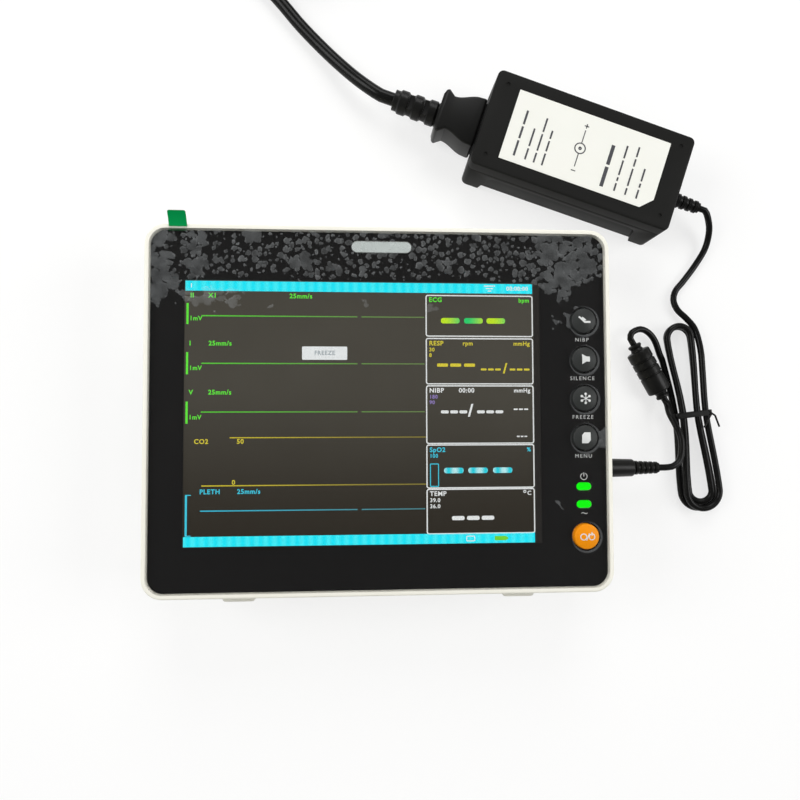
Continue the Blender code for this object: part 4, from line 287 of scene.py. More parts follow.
# Soft vinyl, extruded: near black with a dull sheen, and a faint orange-peel from the die
cord_vinyl = moulded("extruded soft vinyl", "0F0F0F", "151514", 0.24, 0.5, 0.008, specular=0.12)
core_low = CORE_MIDDLE - CORE_ALONG * CORE_REACH
core_high = CORE_MIDDLE + CORE_ALONG * CORE_REACH
hank_loops, second_point, _, hank_tail = winding(hank_point, HANK_TURNS)
run_start = hank_loops[-1] + hank_tail * (LEAD_STRAIGHT + END_GAP)
plug_run = [PLUG_TIP, PLUG_TIP + Vector((LEAD_STRAIGHT, 0.0, 0.0)), *PLUG_BENDS]
plug_run += [core_low - CORE_ALONG * LEAD_STRAIGHT, core_low]
bow = [core_high, core_high + CORE_ALONG * LEAD_STRAIGHT, *BOW_BENDS, hank_loops[0], second_point]
adapter_run = [run_start, run_start + hank_tail * LEAD_STRAIGHT, *GLAND_BENDS]
adapter_run += [GLAND_TIP + ADAPTER_ALONG * LEAD_STRAIGHT, GLAND_TIP]
lead_points = flow(plug_run, LEAD_RADIUS) + flow(bow, LEAD_RADIUS)[:-2] + hank_loops
lead_points += flow(adapter_run, LEAD_RADIUS)
lead_nodes = ("dc_lead_plug_run", "dc_hank", "dc_lead_adapter_run")
dc_lead = lead("dc_lead", lead_points, LEAD_RADIUS, cord_vinyl, *lead_nodes)

# Mains lead: a round three-core vinyl lead from the adapter's coupler. What the picture doesn't show of it
# is wound into a coil behind the adapter, held by a band, with the plug beside it.
MAINS_RADIUS = 3.4
MAINS_STRAIGHT = 2 * MAINS_RADIUS
SLEEVE_TIP = ADAPTER_MIDDLE - ADAPTER_ALONG * 100.8 + Vector((0.0, 0.0, 12.3))
MAINS_BENDS = [(-8.5, 173.7, 10.0), (-18.0, 183.0, 6.6), (-29.0, 194.3, 4.2), (-41.0, 207.0, 3.5)]
MAINS_BENDS.append((-52.0, 220.0, 3.5))
COIL_MIDDLE = Vector((-40.0, 280.0, 0.0))
COIL_TURNS = 5.3625
COIL_START = math.radians(220.5)
COIL_TIE_ANGLE = math.radians(-40)
COIL_RADIUS = 48.5
COIL_STEP = 8.6
COIL_LOW = 3.45
COIL_LIFT = 1.1
COIL_LAYER = 7.4


def coil_point(done):
    """A point of the coil after so many turns, clockwise from above, lifted where the band goes under it."""
    inwards, layer = wound(COIL_TURNS, done)
    radius = COIL_RADIUS - COIL_STEP * inwards
    turn = COIL_START - 2 * math.pi * done
    lift = COIL_LIFT * max(0.0, math.cos(turn - COIL_TIE_ANGLE)) ** 12
    height = COIL_LOW + lift + COIL_LAYER * layer
    return COIL_MIDDLE + Vector((radius * math.cos(turn), radius * math.sin(turn), height))


coil_loops, _, coil_head, coil_tail = winding(coil_point, COIL_TURNS)
coil_end = coil_loops[-1] + coil_tail * MAINS_STRAIGHT
lead_end = coil_loops[0] - coil_head * (MAINS_STRAIGHT + END_GAP)
mains_run = [SLEEVE_TIP, SLEEVE_TIP - ADAPTER_ALONG * MAINS_STRAIGHT, *MAINS_BENDS]
mains_run += [lead_end.lerp(Vector(MAINS_BENDS[-1]), 0.5), lead_end - coil_head * MAINS_STRAIGHT, lead_end]
mains_points = flow(mains_run, MAINS_RADIUS)[:-1] + coil_loops + [coil_end]
mains_lead = lead("mains_lead_cord", mains_points, MAINS_RADIUS, cord_vinyl, "mains_lead", "mains_coil")


# Rear cover: one deep shell of cream ABS with four screw pillars, moulded with slots for the loudspeaker,
# a bay for the battery, and windows for the sockets left and the power jack right.
def pick(piece, wanted):
    """In edit mode, selects the edges of a piece that a test wants."""
    bpy.ops.mesh.select_mode(type="EDGE")
    bpy.ops.mesh.select_all(action="DESELECT")
    for edge in bmesh.from_edit_mesh(piece.data).edges:
        if wanted(edge):
            edge.select_set(True)
    bmesh.update_edit_mesh(piece.data)


def block(size, middle, corner=0.0, top=0.0, low=0.0, steps=10):
    """A block whose upright corners, top edges and low edges are rounded by bevels."""
    bpy.ops.object.select_all(action="DESELECT")
    bpy.ops.mesh.primitive_cube_add(size=1)
    piece = bpy.context.object
    bpy.ops.object.mode_set(mode="EDIT")
    bpy.ops.transform.resize(value=Vector(size) * MM, center_override=(0, 0, 0))
    bpy.ops.transform.translate(value=Vector(middle) * MM)
    half = size[2] / 2
    if corner:
        pick(piece, lambda e: abs(e.verts[0].co.z - e.verts[1].co.z) > half * MM)
        bpy.ops.mesh.bevel(offset=corner * MM, segments=steps, affect="EDGES")
    for level, radius in ((middle[2] + half, top), (middle[2] - half, low)):
        if radius:
            pick(piece, lambda e: all(abs(v.co.z - level * MM) < 1e-6 for v in e.verts))
            bpy.ops.mesh.bevel(offset=radius * MM, segments=max(3, steps // 2), affect="EDGES")
    bpy.ops.object.mode_set(mode="OBJECT")
    return piece


def drawn_out(stations, sides=40, corner=0.0):
    """A solid drawn out along Z from section to section. A station is (half width, half height, distance).

    The section is round, or with a corner radius a rounded rectangle.
    """
    (wide, high, reach), *others = [[value * MM for value in station] for station in stations]
    bpy.ops.object.select_all(action="DESELECT")
    if corner:
        bpy.ops.mesh.primitive_plane_add(size=2)
    else:
        bpy.ops.mesh.primitive_circle_add(vertices=sides, radius=1, fill_type="NGON")
    bpy.ops.object.mode_set(mode="EDIT")
    bpy.ops.transform.resize(value=(wide, high, 1), center_override=(0, 0, 0))
    if corner:
        bpy.ops.mesh.bevel(offset=corner * MM, segments=6, affect="VERTICES")
        bpy.ops.mesh.select_all(action="SELECT")
    bpy.ops.transform.translate(value=(0, 0, reach))
    for next_wide, next_high, next_reach in others:
        bpy.ops.mesh.extrude_region_move(TRANSFORM_OT_translate={"value": (0, 0, next_reach - reach)})
        grow = (next_wide / wide, next_high / high, 1)
        bpy.ops.transform.resize(value=grow, center_override=(0, 0, next_reach))
        wide, high, reach = next_wide, next_high, next_reach
    bpy.ops.mesh.select_all(action="SELECT")
    bpy.ops.mesh.normals_make_consistent(inside=False)
    bpy.ops.object.mode_set(mode="OBJECT")
    return bpy.context.object


def turned(stations, sides=40):
    """A round piece along Z from its radii and distances."""
    return drawn_out([(radius, radius, reach) for radius, reach in stations], sides)


def fix(piece):
    """Moves the place and turn of a piece into its mesh."""
    bpy.ops.object.select_all(action="DESELECT")
    piece.select_set(True)
    bpy.context.view_layer.objects.active = piece
    bpy.ops.object.transform_apply(location=True, rotation=True, scale=True)


def put(piece, place, along):
    """Turns a piece so that its Z looks along a direction, and sets it down."""
    piece.rotation_euler = Vector(along).to_track_quat("Z", "Y").to_euler()
    piece.location = Vector(place) * MM
    fix(piece)
    return piece


def rod(radius, start, end, sides=32):
    """A round bar with softened ends between two points."""
    run = Vector(end) - Vector(start)
    soft = min(0.1, radius / 4, run.length / 4)
    stations = [(radius - soft, 0.0), (radius, soft), (radius, run.length - soft)]
    stations.append((radius - soft, run.length))
    return put(turned(stations, sides), start, run)


def joined(pieces):
    """Several pieces as one."""
    bpy.ops.object.select_all(action="DESELECT")
    for piece in pieces:
        piece.select_set(True)
    bpy.context.view_layer.objects.active = pieces[0]
    if len(pieces) > 1:
        bpy.ops.object.join()
    return bpy.context.view_layer.objects.active


def apply(piece, modifier):
    """Applies a modifier of a piece."""
    bpy.context.view_layer.objects.active = piece
    bpy.ops.object.modifier_apply(modifier=modifier.name)


def combine(piece, operation, *others):
    """Joins other solids to a piece, or cuts them out of it."""
    for other in others:
        step = piece.modifiers.new("combine", "BOOLEAN")
        step.operation = operation
        step.solver = "EXACT"
        step.use_self = operation == "INTERSECT"
        step.object = other
        apply(piece, step)
        bpy.data.objects.remove(other, do_unlink=True)
    return piece


def soften(piece, width, steps=2):
    """Breaks the sharp edges of a piece by a small round."""
    bevel = piece.modifiers.new("soften", "BEVEL")
    bevel.width = width * MM
    bevel.segments = steps
    bevel.limit_method = "ANGLE"
    bevel.angle_limit = math.radians(50)
    apply(piece, bevel)
    return piece


def settle(piece, name, material, slot, *nodes, body="housing"):
    """Finishes a piece: its name, smooth faces, material, body and the CAD nodes it stands for. Its slot is
    not used.
    """
    fix(piece)
    bpy.ops.object.shade_smooth_by_angle(angle=math.radians(35))
    piece.name = name
    piece.data.name = name
    piece.data.materials.clear()
    piece.data.materials.append(material)
    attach(piece, body)
    if nodes:
        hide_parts(*nodes)
    return piece


HOUSING_WIDTH = 216
HOUSING_HEIGHT = 170
HOUSING_CORNER = 9.5
BACK_ROUND = 7
WALL = 2.2
FLOOR = 3.2
PARTING = 30
SCREW_SPOTS = [(x, y) for x in (-90, 90) for y in (-76.5, 76.5)]
SCREW_HOLE = 1.8
HEAD_WELL = 3.4
HEAD_SEAT = 26
PILLAR = 5
DOOR_MIDDLE = Vector((22, -28, 0))
DOOR_WIDTH = 98
DOOR_HEIGHT = 78
DOOR_CORNER = 4
DOOR_ROOM = 0.3
DOOR_SCREW_SPOTS = [(-21, -28), (65, -28)]
BAY_WIDTH = 77
BAY_HEIGHT = 71
BAY_WALL = 1.6
BAY_TOP = 18
SPEAKER_SPOT = (-62, -52)
SPEAKER_RADIUS = 18.3
SPEAKER_WALL = 1.6
SPEAKER_WALL_TOP = 7.7
SLOTS_REACH = 15
SLOT_PITCH = 4
SOCKET_HEIGHT = 18
SOCKET_WINDOW = (10, 86.2, 17.6)
JACK = Vector((108, -29.3, 16))
JACK_HOLE = 5.2
FOOT_SPREAD = 68
FOOT_HEIGHT = 19
FOOT_PEG = 2.5
PEG_ROOM = 0.3

# ABS, moulded in a spark-eroded tool: warm white, half matt, with a fine even grain.
# The grain is drawn about twice as coarse as it is, so that it still shows in the render.
housing_abs = moulded("cream moulded ABS", "EFEDE2", "E9E7DA", 0.42, 0.45, 0.02)
cover_size = (HOUSING_WIDTH, HOUSING_HEIGHT, PARTING)
rear_cover = block(cover_size, (0, 0, PARTING / 2), corner=HOUSING_CORNER, low=BACK_ROUND, steps=14)
hollow_size = (HOUSING_WIDTH - 2 * WALL, HOUSING_HEIGHT - 2 * WALL, PARTING)
hollow_middle = (0, 0, PARTING / 2 + FLOOR)
hollow = block(hollow_size, hollow_middle, corner=HOUSING_CORNER - WALL, low=BACK_ROUND - WALL)
combine(rear_cover, "DIFFERENCE", hollow)
pillars = [rod(PILLAR, (x, y, FLOOR / 2), (x, y, PARTING)) for x, y in SCREW_SPOTS]
ring_radius = SPEAKER_RADIUS + SPEAKER_WALL
speaker_ring = rod(ring_radius, (*SPEAKER_SPOT, FLOOR / 2), (*SPEAKER_SPOT, SPEAKER_WALL_TOP), 48)
bay_size = (BAY_WIDTH + 2 * BAY_WALL, BAY_HEIGHT + 2 * BAY_WALL, BAY_TOP - FLOOR / 2)
bay = block(bay_size, DOOR_MIDDLE + Vector((0, 0, BAY_TOP - bay_size[2] / 2)))
combine(rear_cover, "UNION", joined(pillars), speaker_ring, bay)
slots = []
for i in range(7):
    rise = (i - 3) * SLOT_PITCH
    chord = 2 * math.sqrt(SLOTS_REACH**2 - rise**2)
    slots.append(block((chord, 2, 12), (SPEAKER_SPOT[0], SPEAKER_SPOT[1] + rise, 3), corner=0.99, steps=6))
bay_hole = block((BAY_WIDTH, BAY_HEIGHT, 30), DOOR_MIDDLE + Vector((0, 0, 10)))
recess_size = (DOOR_WIDTH + 2 * DOOR_ROOM, DOOR_HEIGHT + 2 * DOOR_ROOM, 6.2)
door_recess = block(recess_size, DOOR_MIDDLE + Vector((0, 0, -1)), corner=DOOR_CORNER + DOOR_ROOM)
speaker_bed = rod(SPEAKER_RADIUS, (*SPEAKER_SPOT, FLOOR), (*SPEAKER_SPOT, 12), 48)
combine(rear_cover, "DIFFERENCE", joined(slots), bay_hole, door_recess, speaker_bed)
cuts = [rod(HEAD_WELL, (x, y, -WALL), (x, y, HEAD_SEAT)) for x, y in SCREW_SPOTS]
cuts += [rod(SCREW_HOLE, (x, y, 20), (x, y, PARTING + WALL)) for x, y in SCREW_SPOTS]
cuts += [rod(SCREW_HOLE, (x, y, 0.5), (x, y, 9.1)) for x, y in DOOR_SCREW_SPOTS]
cuts.append(block(SOCKET_WINDOW, (-HOUSING_WIDTH / 2, -10.5, SOCKET_HEIGHT)))
cuts.append(rod(JACK_HOLE, JACK - Vector((8, 0, 0)), JACK + Vector((4, 0, 0))))
for x in (-FOOT_SPREAD, FOOT_SPREAD):
    cuts.append(rod(FOOT_PEG + PEG_ROOM, (x, -90, FOOT_HEIGHT), (x, -80, FOOT_HEIGHT)))
combine(rear_cover, "DIFFERENCE", *cuts)
settle(rear_cover, "rear_shell", housing_abs, "housing_cream", "rear_cover")

# Screws: zinc-plated pan heads with a cross recess, sunk in the back.
# Four hold the two halves of the housing and two the battery door.
screw_steel, tree, shader, where = blank("zinc-plated steel")
blotches = add(tree, "TexNoise", {"Vector": where, "Scale": 1 / (0.8 * MM), "Detail": 4.0})
zinc = add(tree, "Mix", {0: blotches, 6: linear("B9BBBD"), 7: linear("9A9CA0")}, data_type="RGBA", output=2)
dull = add(tree, "MapRange", {"Value": blotches, "To Min": 0.25, "To Max": 0.45})
feed(tree, shader, {"Base Color": zinc, "Roughness": dull, "Metallic": 1.0})


def screw(name, spot, under, head, bite):
    """A pan-head screw that points up, with its head at the back and a cross recess in it."""
    stations = [(1.2, -head), (2.2, -head * 0.92), (2.65, -head * 0.6), (2.8, 0.0)]
    stations += [(1.5, 0.0), (1.5, bite - 1.0), (0.5, bite)]
    piece = turned(stations, 32)
    piece.location = Vector((*spot, under)) * MM
    for width, height in ((2.6, 0.7), (0.7, 2.6)):
        combine(piece, "DIFFERENCE", block((width, height, head), (*spot, under - head)))
    return settle(piece, name.replace("screw", "pan_screw"), screw_steel, "screw_steel", name)


for number, spot in enumerate(SCREW_SPOTS, 1):
    screw(f"case_screw_{number}", spot, HEAD_SEAT - END_GAP, 2.2, 12.0)
for number, spot in enumerate(DOOR_SCREW_SPOTS, 1):
    screw(f"door_screw_{number}", spot, 0.8, 0.8, 7.0)

# Battery door: a flat ABS plate flush in the back, with a row of grip ribs at its lower end
# and two countersinks for its screws.
DOOR_THICK = 1.8
door_size = (DOOR_WIDTH, DOOR_HEIGHT, DOOR_THICK)
door = block(door_size, DOOR_MIDDLE + Vector((0, 0, DOOR_THICK / 2)), corner=DOOR_CORNER, low=0.3)
for x, y in DOOR_SCREW_SPOTS:
    combine(door, "DIFFERENCE", rod(3.1, (x, y, -1), (x, y, 1.1)), rod(SCREW_HOLE, (x, y, -1), (x, y, 3)))
grooves = [block((34, 1, 1), DOOR_MIDDLE + Vector((0, -33 + 2 * i, 0)), corner=0.45) for i in range(6)]
combine(door, "DIFFERENCE", joined(grooves))
settle(door, "battery_door_plate", housing_abs, "housing_cream", "battery_door")

# Feet: two cream wedges pressed into the lower wall, on which the monitor stands on a shelf.
# Each is held by a round peg.
foot_abs = moulded("cream moulded ABS of the feet", "E9E8DE", "E3E1D5", 0.5, 0.5, 0.02)
for x, node in ((-FOOT_SPREAD, "foot_left"), (FOOT_SPREAD, "foot_right")):
    foot = drawn_out([(7.1, 9.6, 0.0), (7.5, 10.0, 0.4), (10.0, 10.0, 6.0)], corner=1.5)
    put(foot, (x, -91.3, FOOT_HEIGHT), (0, 1, 0))
    combine(foot, "UNION", rod(FOOT_PEG, (x, -86, FOOT_HEIGHT), (x, -81.8, FOOT_HEIGHT)))
    settle(foot, node + "_wedge", foot_abs, "foot_cream", node)


# Inside: chassis, boards, battery, pump, valve, tubes and loudspeaker, all behind closed walls.
# Their CAD solids stay, in the finish of the real pieces.
def dress(material, *names):
    """Gives CAD nodes a material."""
    for name in names:
        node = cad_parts[name]
        node.data.materials.clear()
        node.data.materials.append(material)


# Pressed steel sheet: rolled, so its gloss runs in fine streaks
sheet_steel, tree, shader, where = blank("rolled steel sheet")
rolled = add(tree, "Mapping", {"Vector": where, "Scale": (1 / (8 * MM), 1 / (0.3 * MM), 1 / (8 * MM))})
streaks = add(tree, "TexNoise", {"Vector": rolled, "Scale": 1.0, "Detail": 3.0})
polish = add(tree, "MapRange", {"Value": streaks, "To Min": 0.28, "To Max": 0.48})
feed(tree, shader, {"Base Color": linear("B4B6B8"), "Roughness": polish, "Metallic": 1.0})
dress(sheet_steel, "lcd_frame", "chassis_plate")

# Glass-fibre board: green lacquer over copper, whose tracks show as paler lines in a grid of about 2.5 mm
circuit_green, tree, shader, where = blank("lacquered glass-fibre board")
tracks = {"Vector": where, "Scale": 1.0, "Mortar Size": 0.15 * MM}
tracks |= {"Brick Width": 7.5 * MM, "Row Height": 2.5 * MM}
tracks |= {"Color1": linear("1C5A34"), "Color2": linear("184F2E"), "Mortar": linear("3B8054")}
feed(tree, shader, {"Base Color": add(tree, "TexBrick", tracks), "Roughness": 0.35})
dress(circuit_green, "main_board", "measurement_board", "key_board", "power_board", "adapter_board")
dress(moulded("shrunk battery wrap", "27406E", "1F355E", 0.3, 3, 0.1), "battery_pack")
dress(moulded("die-cast pump metal", "9C9EA0", "8C8E91", 0.4, 0.8, 0.03), "nibp_pump")
grey_plastic = moulded("grey moulded nylon", "8B8E90", "7F8284", 0.45, 0.5, 0.02, ior=1.53)
dress(grey_plastic, "nibp_valve")
tube_silicone = moulded("milky silicone tube", "D9DAD6", "CFD0CB", 0.45, 1, 0.02, ior=1.41)
dress(tube_silicone, "air_tube_pump", "air_tube_port")
dress(moulded("pressed paper cone", "2B2B2C", "212122", 0.7, 0.6, 0.06), "speaker")

# Connector panel and its four round sockets in the left wall: nylon shells coloured by their use,
# the cuff port with a nipple. The gilded pins of the other three lie astray, behind the right wall.
dress(grey_plastic, "connector_panel")
gilt, tree, shader, where = blank("gilded contact")
wear = add(tree, "TexNoise", {"Vector": where, "Scale": 1 / (0.4 * MM), "Detail": 2.0})
rub = add(tree, "MapRange", {"Value": wear, "To Min": 0.15, "To Max": 0.35})
feed(tree, shader, {"Base Color": linear("D9B562"), "Roughness": rub, "Metallic": 1.0})
SOCKET_WALL = 1.6
PIN_CIRCLE = 0.55
# Node, place along the wall, outer radius, number of pins and colour of each socket
SOCKETS = [
    ("nibp_port", 24.0, 6.5, 0, "8B8E90"),
    ("spo2_socket", 1.0, 7.0, 8, "3E6FA3"),
    ("ecg_socket", -22.0, 8.0, 11, "3F8A52"),
    ("temp_socket", -45.0, 5.0, 2, "A8763C"),
]
for node, y, radius, pins, colour in SOCKETS:
    mouth = (-HOUSING_WIDTH / 2, y, SOCKET_HEIGHT)
    shell = moulded("moulded nylon of " + node, colour, colour, 0.4, 0.5, 0.02, ior=1.53)
    inner = radius - SOCKET_WALL
    stations = [(inner, -8.5), (inner, -0.8), (inner + 0.3, -0.5), (radius - 0.3, -0.5), (radius, -0.8)]
    stations += [(radius, -5.3), (radius + 1.2, -5.3), (radius + 1.2, -6.8), (radius, -6.8), (radius, -14.5)]
    socket = put(turned(stations, 48), mouth, (-1, 0, 0))
    if node == "nibp_port":
        combine(socket, "UNION", rod(1.6, (-95.5, y, SOCKET_HEIGHT), (-89.5, y, SOCKET_HEIGHT)))
        nipple = turned([(2.6, -8.4), (2.4, -3.4), (1.9, -3.0), (1.3, -3.0), (1.3, -8.2)])
        settle(put(nipple, mouth, (-1, 0, 0)), "cuff_nipple", grey_plastic, "grey_plastic")
    settle(socket, node + "_shell", shell, "grey_plastic", node)
    contacts = [rod(0.45, (-100, y, SOCKET_HEIGHT), (-104, y, SOCKET_HEIGHT), 16) for _ in range(pins)]
    # This second placing also turns a pin half round the upright axis, away from its socket
    for number, pin in enumerate(contacts):
        turn = 2 * math.pi * number / pins
        spread = PIN_CIRCLE * inner
        put(pin, (0, spread * math.cos(turn), spread * math.sin(turn)), (0, 0, 1))
    if contacts:
        settle(joined(contacts), node + "_pins", gilt, "screw_steel")

# Front frame: the cream rim round the front, moulded with the web that carries the lens and the keys.
# Its outer edge is softly rounded, and its inner edge stands 0.8 mm above the lens.
RIM_TOP = 52
RIM_WIDTH = 2
RIM_ROUND = 0.9
FRAME_LOW = PARTING + END_GAP
SEAT = 48.5
WEB_LOW = 46.3
BOSS = 3.5
SCREEN_MIDDLE = Vector((-9.3, -1.3, 0.0))
SCREEN_HOLE = (183.6, 141.6, 20)
KEY_X = 95
KEY_RADIUS = 5.8
KEY_ROOM = 0.35
# Node, body and place of each key
KEYS = [
    ("nibp_button", "nibp_key", 41.6),
    ("silence_button", "silence_key", 23.27),
    ("freeze_button", "freeze_key", 4.94),
    ("menu_button", "menu_key", -13.39),
    ("power_button", "power_key", -59.3),
]
WINDOW_ROOM = 0.3
WINDOW_DEPTH = 8
# Name, node, width, height and place of the two lamps and the alarm light
LIGHTS = [
    ("power_lamp", "power_lamp_lens", 6.7, 3.1, (KEY_X, -36.3)),
    ("mains_lamp", "mains_lamp_lens", 6.7, 3.1, (KEY_X, -44.6)),
    ("alarm_light", "alarm_light_bar", 28.0, 5.2, (0, 76.1)),
]


def light_windows():
    """Cutters for the windows of the lamps and the alarm light, with round ends and a little room."""
    cutters = []
    for _, _, width, height, spot in LIGHTS:
        size = (width + 2 * WINDOW_ROOM, height + 2 * WINDOW_ROOM, WINDOW_DEPTH)
        cutters.append(block(size, (*spot, SEAT), corner=size[1] / 2 - 0.01))
    return cutters


depth = RIM_TOP - FRAME_LOW
frame_size = (HOUSING_WIDTH, HOUSING_HEIGHT, depth)
front = block(frame_size, (0, 0, RIM_TOP - depth / 2), corner=HOUSING_CORNER, top=RIM_ROUND, steps=14)
recess_size = (HOUSING_WIDTH - 2 * RIM_WIDTH, HOUSING_HEIGHT - 2 * RIM_WIDTH, 10)
recess = block(recess_size, (0, 0, SEAT + 5), corner=HOUSING_CORNER - RIM_WIDTH)
inside_size = (HOUSING_WIDTH - 2 * WALL, HOUSING_HEIGHT - 2 * WALL, 20)
inside = block(inside_size, (0, 0, WEB_LOW - 10), corner=HOUSING_CORNER - WALL)
screen_hole = block(SCREEN_HOLE, SCREEN_MIDDLE + Vector((0, 0, SEAT)))
combine(front, "DIFFERENCE", recess, inside, screen_hole)
bosses = [rod(BOSS, (x, y, FRAME_LOW), (x, y, SEAT - 1)) for x, y in SCREW_SPOTS]
combine(front, "UNION", joined(bosses))
holes = [rod(KEY_RADIUS + KEY_ROOM, (KEY_X, y, 40), (KEY_X, y, 60), 48) for _, _, y in KEYS]
holes += [rod(SCREW_HOLE, (x, y, PARTING - WALL), (x, y, PARTING + 10)) for x, y in SCREW_SPOTS]
combine(front, "DIFFERENCE", joined(holes + light_windows()))
settle(front, "front_rim", housing_abs, "housing_cream", "front_frame")

# Power jack: a block of black nylon on the power board, with a round nose in the right wall.
# The plug of the lead fills it.
jack_nylon = moulded("black moulded nylon", "141414", "1B1B1B", 0.38, 0.5, 0.02, specular=0.2)
dress(jack_nylon, "dc_jack")


# Screen: an eight-inch liquid-crystal panel in a pressed steel frame, lit from behind.
# Its black is a warm dark grey that glows, darker towards the bottom. What it shows stands on the glass as
# thin lit plates made of fine dots.
def box_of(node):
    """The low and the high corner of a CAD node."""
    return [Vector(corner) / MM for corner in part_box(node)]


SCREEN_WIDTH = 162
SCREEN_HEIGHT = 122
SCREEN_LEFT = SCREEN_MIDDLE.x - SCREEN_WIDTH / 2
SCREEN_TOP = SCREEN_MIDDLE.y + SCREEN_HEIGHT / 2
PICTURE_LOW = box_of("lcd_panel")[1].z + 0.05
PLATE = 0.08
DOT = SCREEN_WIDTH / 800
CAPITAL = 0.7
BOLDNESS = 0.035
lcd_glass, tree, shader, where = blank("backlit liquid-crystal glass")
clouds = add(tree, "TexNoise", {"Vector": where, "Scale": 1 / (45 * MM), "Detail": 2.0})
high = add(tree, "SeparateXYZ", {0: where}, output="Y")
fade = {"Value": high, "From Min": (SCREEN_TOP - SCREEN_HEIGHT) * MM}
fade["From Max"] = (SCREEN_TOP - SCREEN_HEIGHT / 3) * MM
fade = add(tree, "MapRange", fade, interpolation_type="SMOOTHSTEP")
upper = add(tree, "Mix", {0: clouds, 6: linear("47443C"), 7: linear("3D3A32")}, data_type="RGBA", output=2)
black = add(tree, "Mix", {0: fade, 6: linear("241F16"), 7: upper}, data_type="RGBA", output=2)
feed(tree, shader, {"Emission Color": black, "Emission Strength": 1.0, "Base Color": linear("0B0A09")})
feed(tree, shader, {"Roughness": 0.3, "Specular IOR Level": 0.1})
dress(lcd_glass, "lcd_panel")


def lit(name, colour, second=None, pitch=0.0, crest=0.0, strength=1.0):
    """Light of the screen in dots of the panel's pitch.

    A second colour swells and fades along X, once in each pitch, and is fullest at a crest.
    """
    material, tree, shader, where = blank("lit screen dots, " + name)
    tone = linear(colour)
    if second:
        wave = math.pi / 10 / (pitch * MM)
        phase = math.pi - 20 * wave * crest * MM
        swell = add(tree, "TexWave", {"Vector": where, "Scale": wave, "Phase Offset": phase}, "Fac")
        ends = {0: swell, 6: linear(colour), 7: linear(second)}
        tone = add(tree, "Mix", ends, data_type="RGBA", output=2)
    dots = {"Vector": where, "Color1": tone, "Color2": tone, "Mortar": linear("2B2826"), "Scale": 1.0}
    dots |= {"Mortar Size": DOT / 20 * MM, "Brick Width": DOT * MM, "Row Height": DOT * MM}
    dots = add(tree, "TexBrick", dots, offset=0.0)
    feed(tree, shader, {"Emission Color": dots, "Emission Strength": strength})
    feed(tree, shader, {"Base Color": linear("060606"), "Roughness": 0.3, "Specular IOR Level": 0.1})
    return material


def words(text, place, height, thick, align="LEFT", spacing=1.12, bold=BOLDNESS):
    """Flat lettering of a capital height, as a closed plate whose low side stands at a place."""
    bpy.ops.object.select_all(action="DESELECT")
    bpy.ops.object.text_add()
    piece = bpy.context.object
    piece.data.body = text
    piece.data.size = height / CAPITAL * MM
    piece.data.space_character = spacing
    piece.data.offset = height * bold * MM
    piece.data.align_x = align
    piece.data.align_y = "CENTER"
    piece.data.resolution_u = 3
    piece.data.extrude = thick / 2 * MM
    bpy.ops.object.convert(target="MESH")
    bpy.ops.object.mode_set(mode="EDIT")
    bpy.ops.mesh.select_all(action="SELECT")
    bpy.ops.mesh.remove_doubles(threshold=thick / 20 * MM)
    bpy.ops.object.mode_set(mode="OBJECT")
    piece.location = (Vector(place) + Vector((0, 0, thick / 2))) * MM
    fix(piece)
    return piece


# The picture is laid out from the screen's top left corner, u to the right and v down.
# Its plates lie in layers.
def note(text, u, v, height=2.1, align="LEFT", layer=1):
    """Lettering on the screen."""
    place = (SCREEN_LEFT + u, SCREEN_TOP - v, PICTURE_LOW + layer * PLATE)
    return words(text, place, height, PLATE, align)


def bar(u, v, width, height, corner=0.0, layer=1):
    """A lit plate on the screen, by its middle and size."""
    middle = (SCREEN_LEFT + u, SCREEN_TOP - v, PICTURE_LOW + (layer + 0.5) * PLATE)
    return block((width, height, PLATE), middle, corner=corner, steps=6)


def trace(start, end, v):
    """A flat trace on the screen from one u to another."""
    return bar((start + end) / 2, v, end - start, 0.5)


def outline(u, v, width, height, line, corner, layer=1):
    """A lit frame line on the screen, by its middle and outer size."""
    middle = (SCREEN_LEFT + u, SCREEN_TOP - v, PICTURE_LOW + layer * PLATE)
    hole_size = (width - 2 * line, height - 2 * line, 4 * PLATE)
    hole = block(hole_size, middle, corner=corner - line, steps=6)
    return combine(bar(u, v, width, height, corner, layer), "DIFFERENCE", hole)


def show(name, material, *pieces):
    """Puts lit pieces of one colour on the screen as one piece."""
    return settle(joined(list(pieces)), "picture_" + name, material, "screen_glass")


# Columns and rows that the picture keeps to
TILES = [(5.6, 25.4), (26.0, 47.9), (48.3, 75.8), (76.0, 96.5), (96.6, 117.7)]
TILE_MIDDLE = 136.6
TILE_WIDTH = 51.2
TILE_LEFT = 112.6
TILE_RIGHT = 160.5
TRACE_ROWS = (16.3, 38.3, 60.7)
TRACE_SPANS = ((7.4, 79.0), (80.9, 110.4))
TRACE_END = SCREEN_LEFT + 110
SCALE_ROWS = ((10.5, 20.2), (33.2, 43.4), (55.9, 66.0))
BAR_ROWS = (2.4, 119.7)
BAR_HEIGHT = 4.6
FADE = 240
ON_BARS = 2.5
cyan_light = lit("cyan", "00E4F6", "3CEEF9", pitch=4.1, strength=1.2)
show("bars", cyan_light, *[bar(SCREEN_WIDTH / 2, row, SCREEN_WIDTH, BAR_HEIGHT) for row in BAR_ROWS])
top_words = [note("1", 2.0, 2.4, 1.9, layer=ON_BARS), note("00:00:00", 160.0, 2.4, 1.9, "RIGHT", ON_BARS)]
for number, reach in enumerate((0.8, 1.7, 2.6)):
    top_words.append(bar(141.5, 3.6 - 1.2 * number, 2 * reach, 0.5, layer=ON_BARS + 1))
top_words.append(outline(131.6, 119.8, 4.2, 2.6, 0.4, 0.6, ON_BARS))
show("bar_words", lit("white on the bars", "F4FBFC"), *top_words)
battery_sign = [bar(145.7, 119.8, 5.6, 2.0, 0.4, layer=2), bar(148.8, 119.8, 0.8, 1.1, layer=2)]
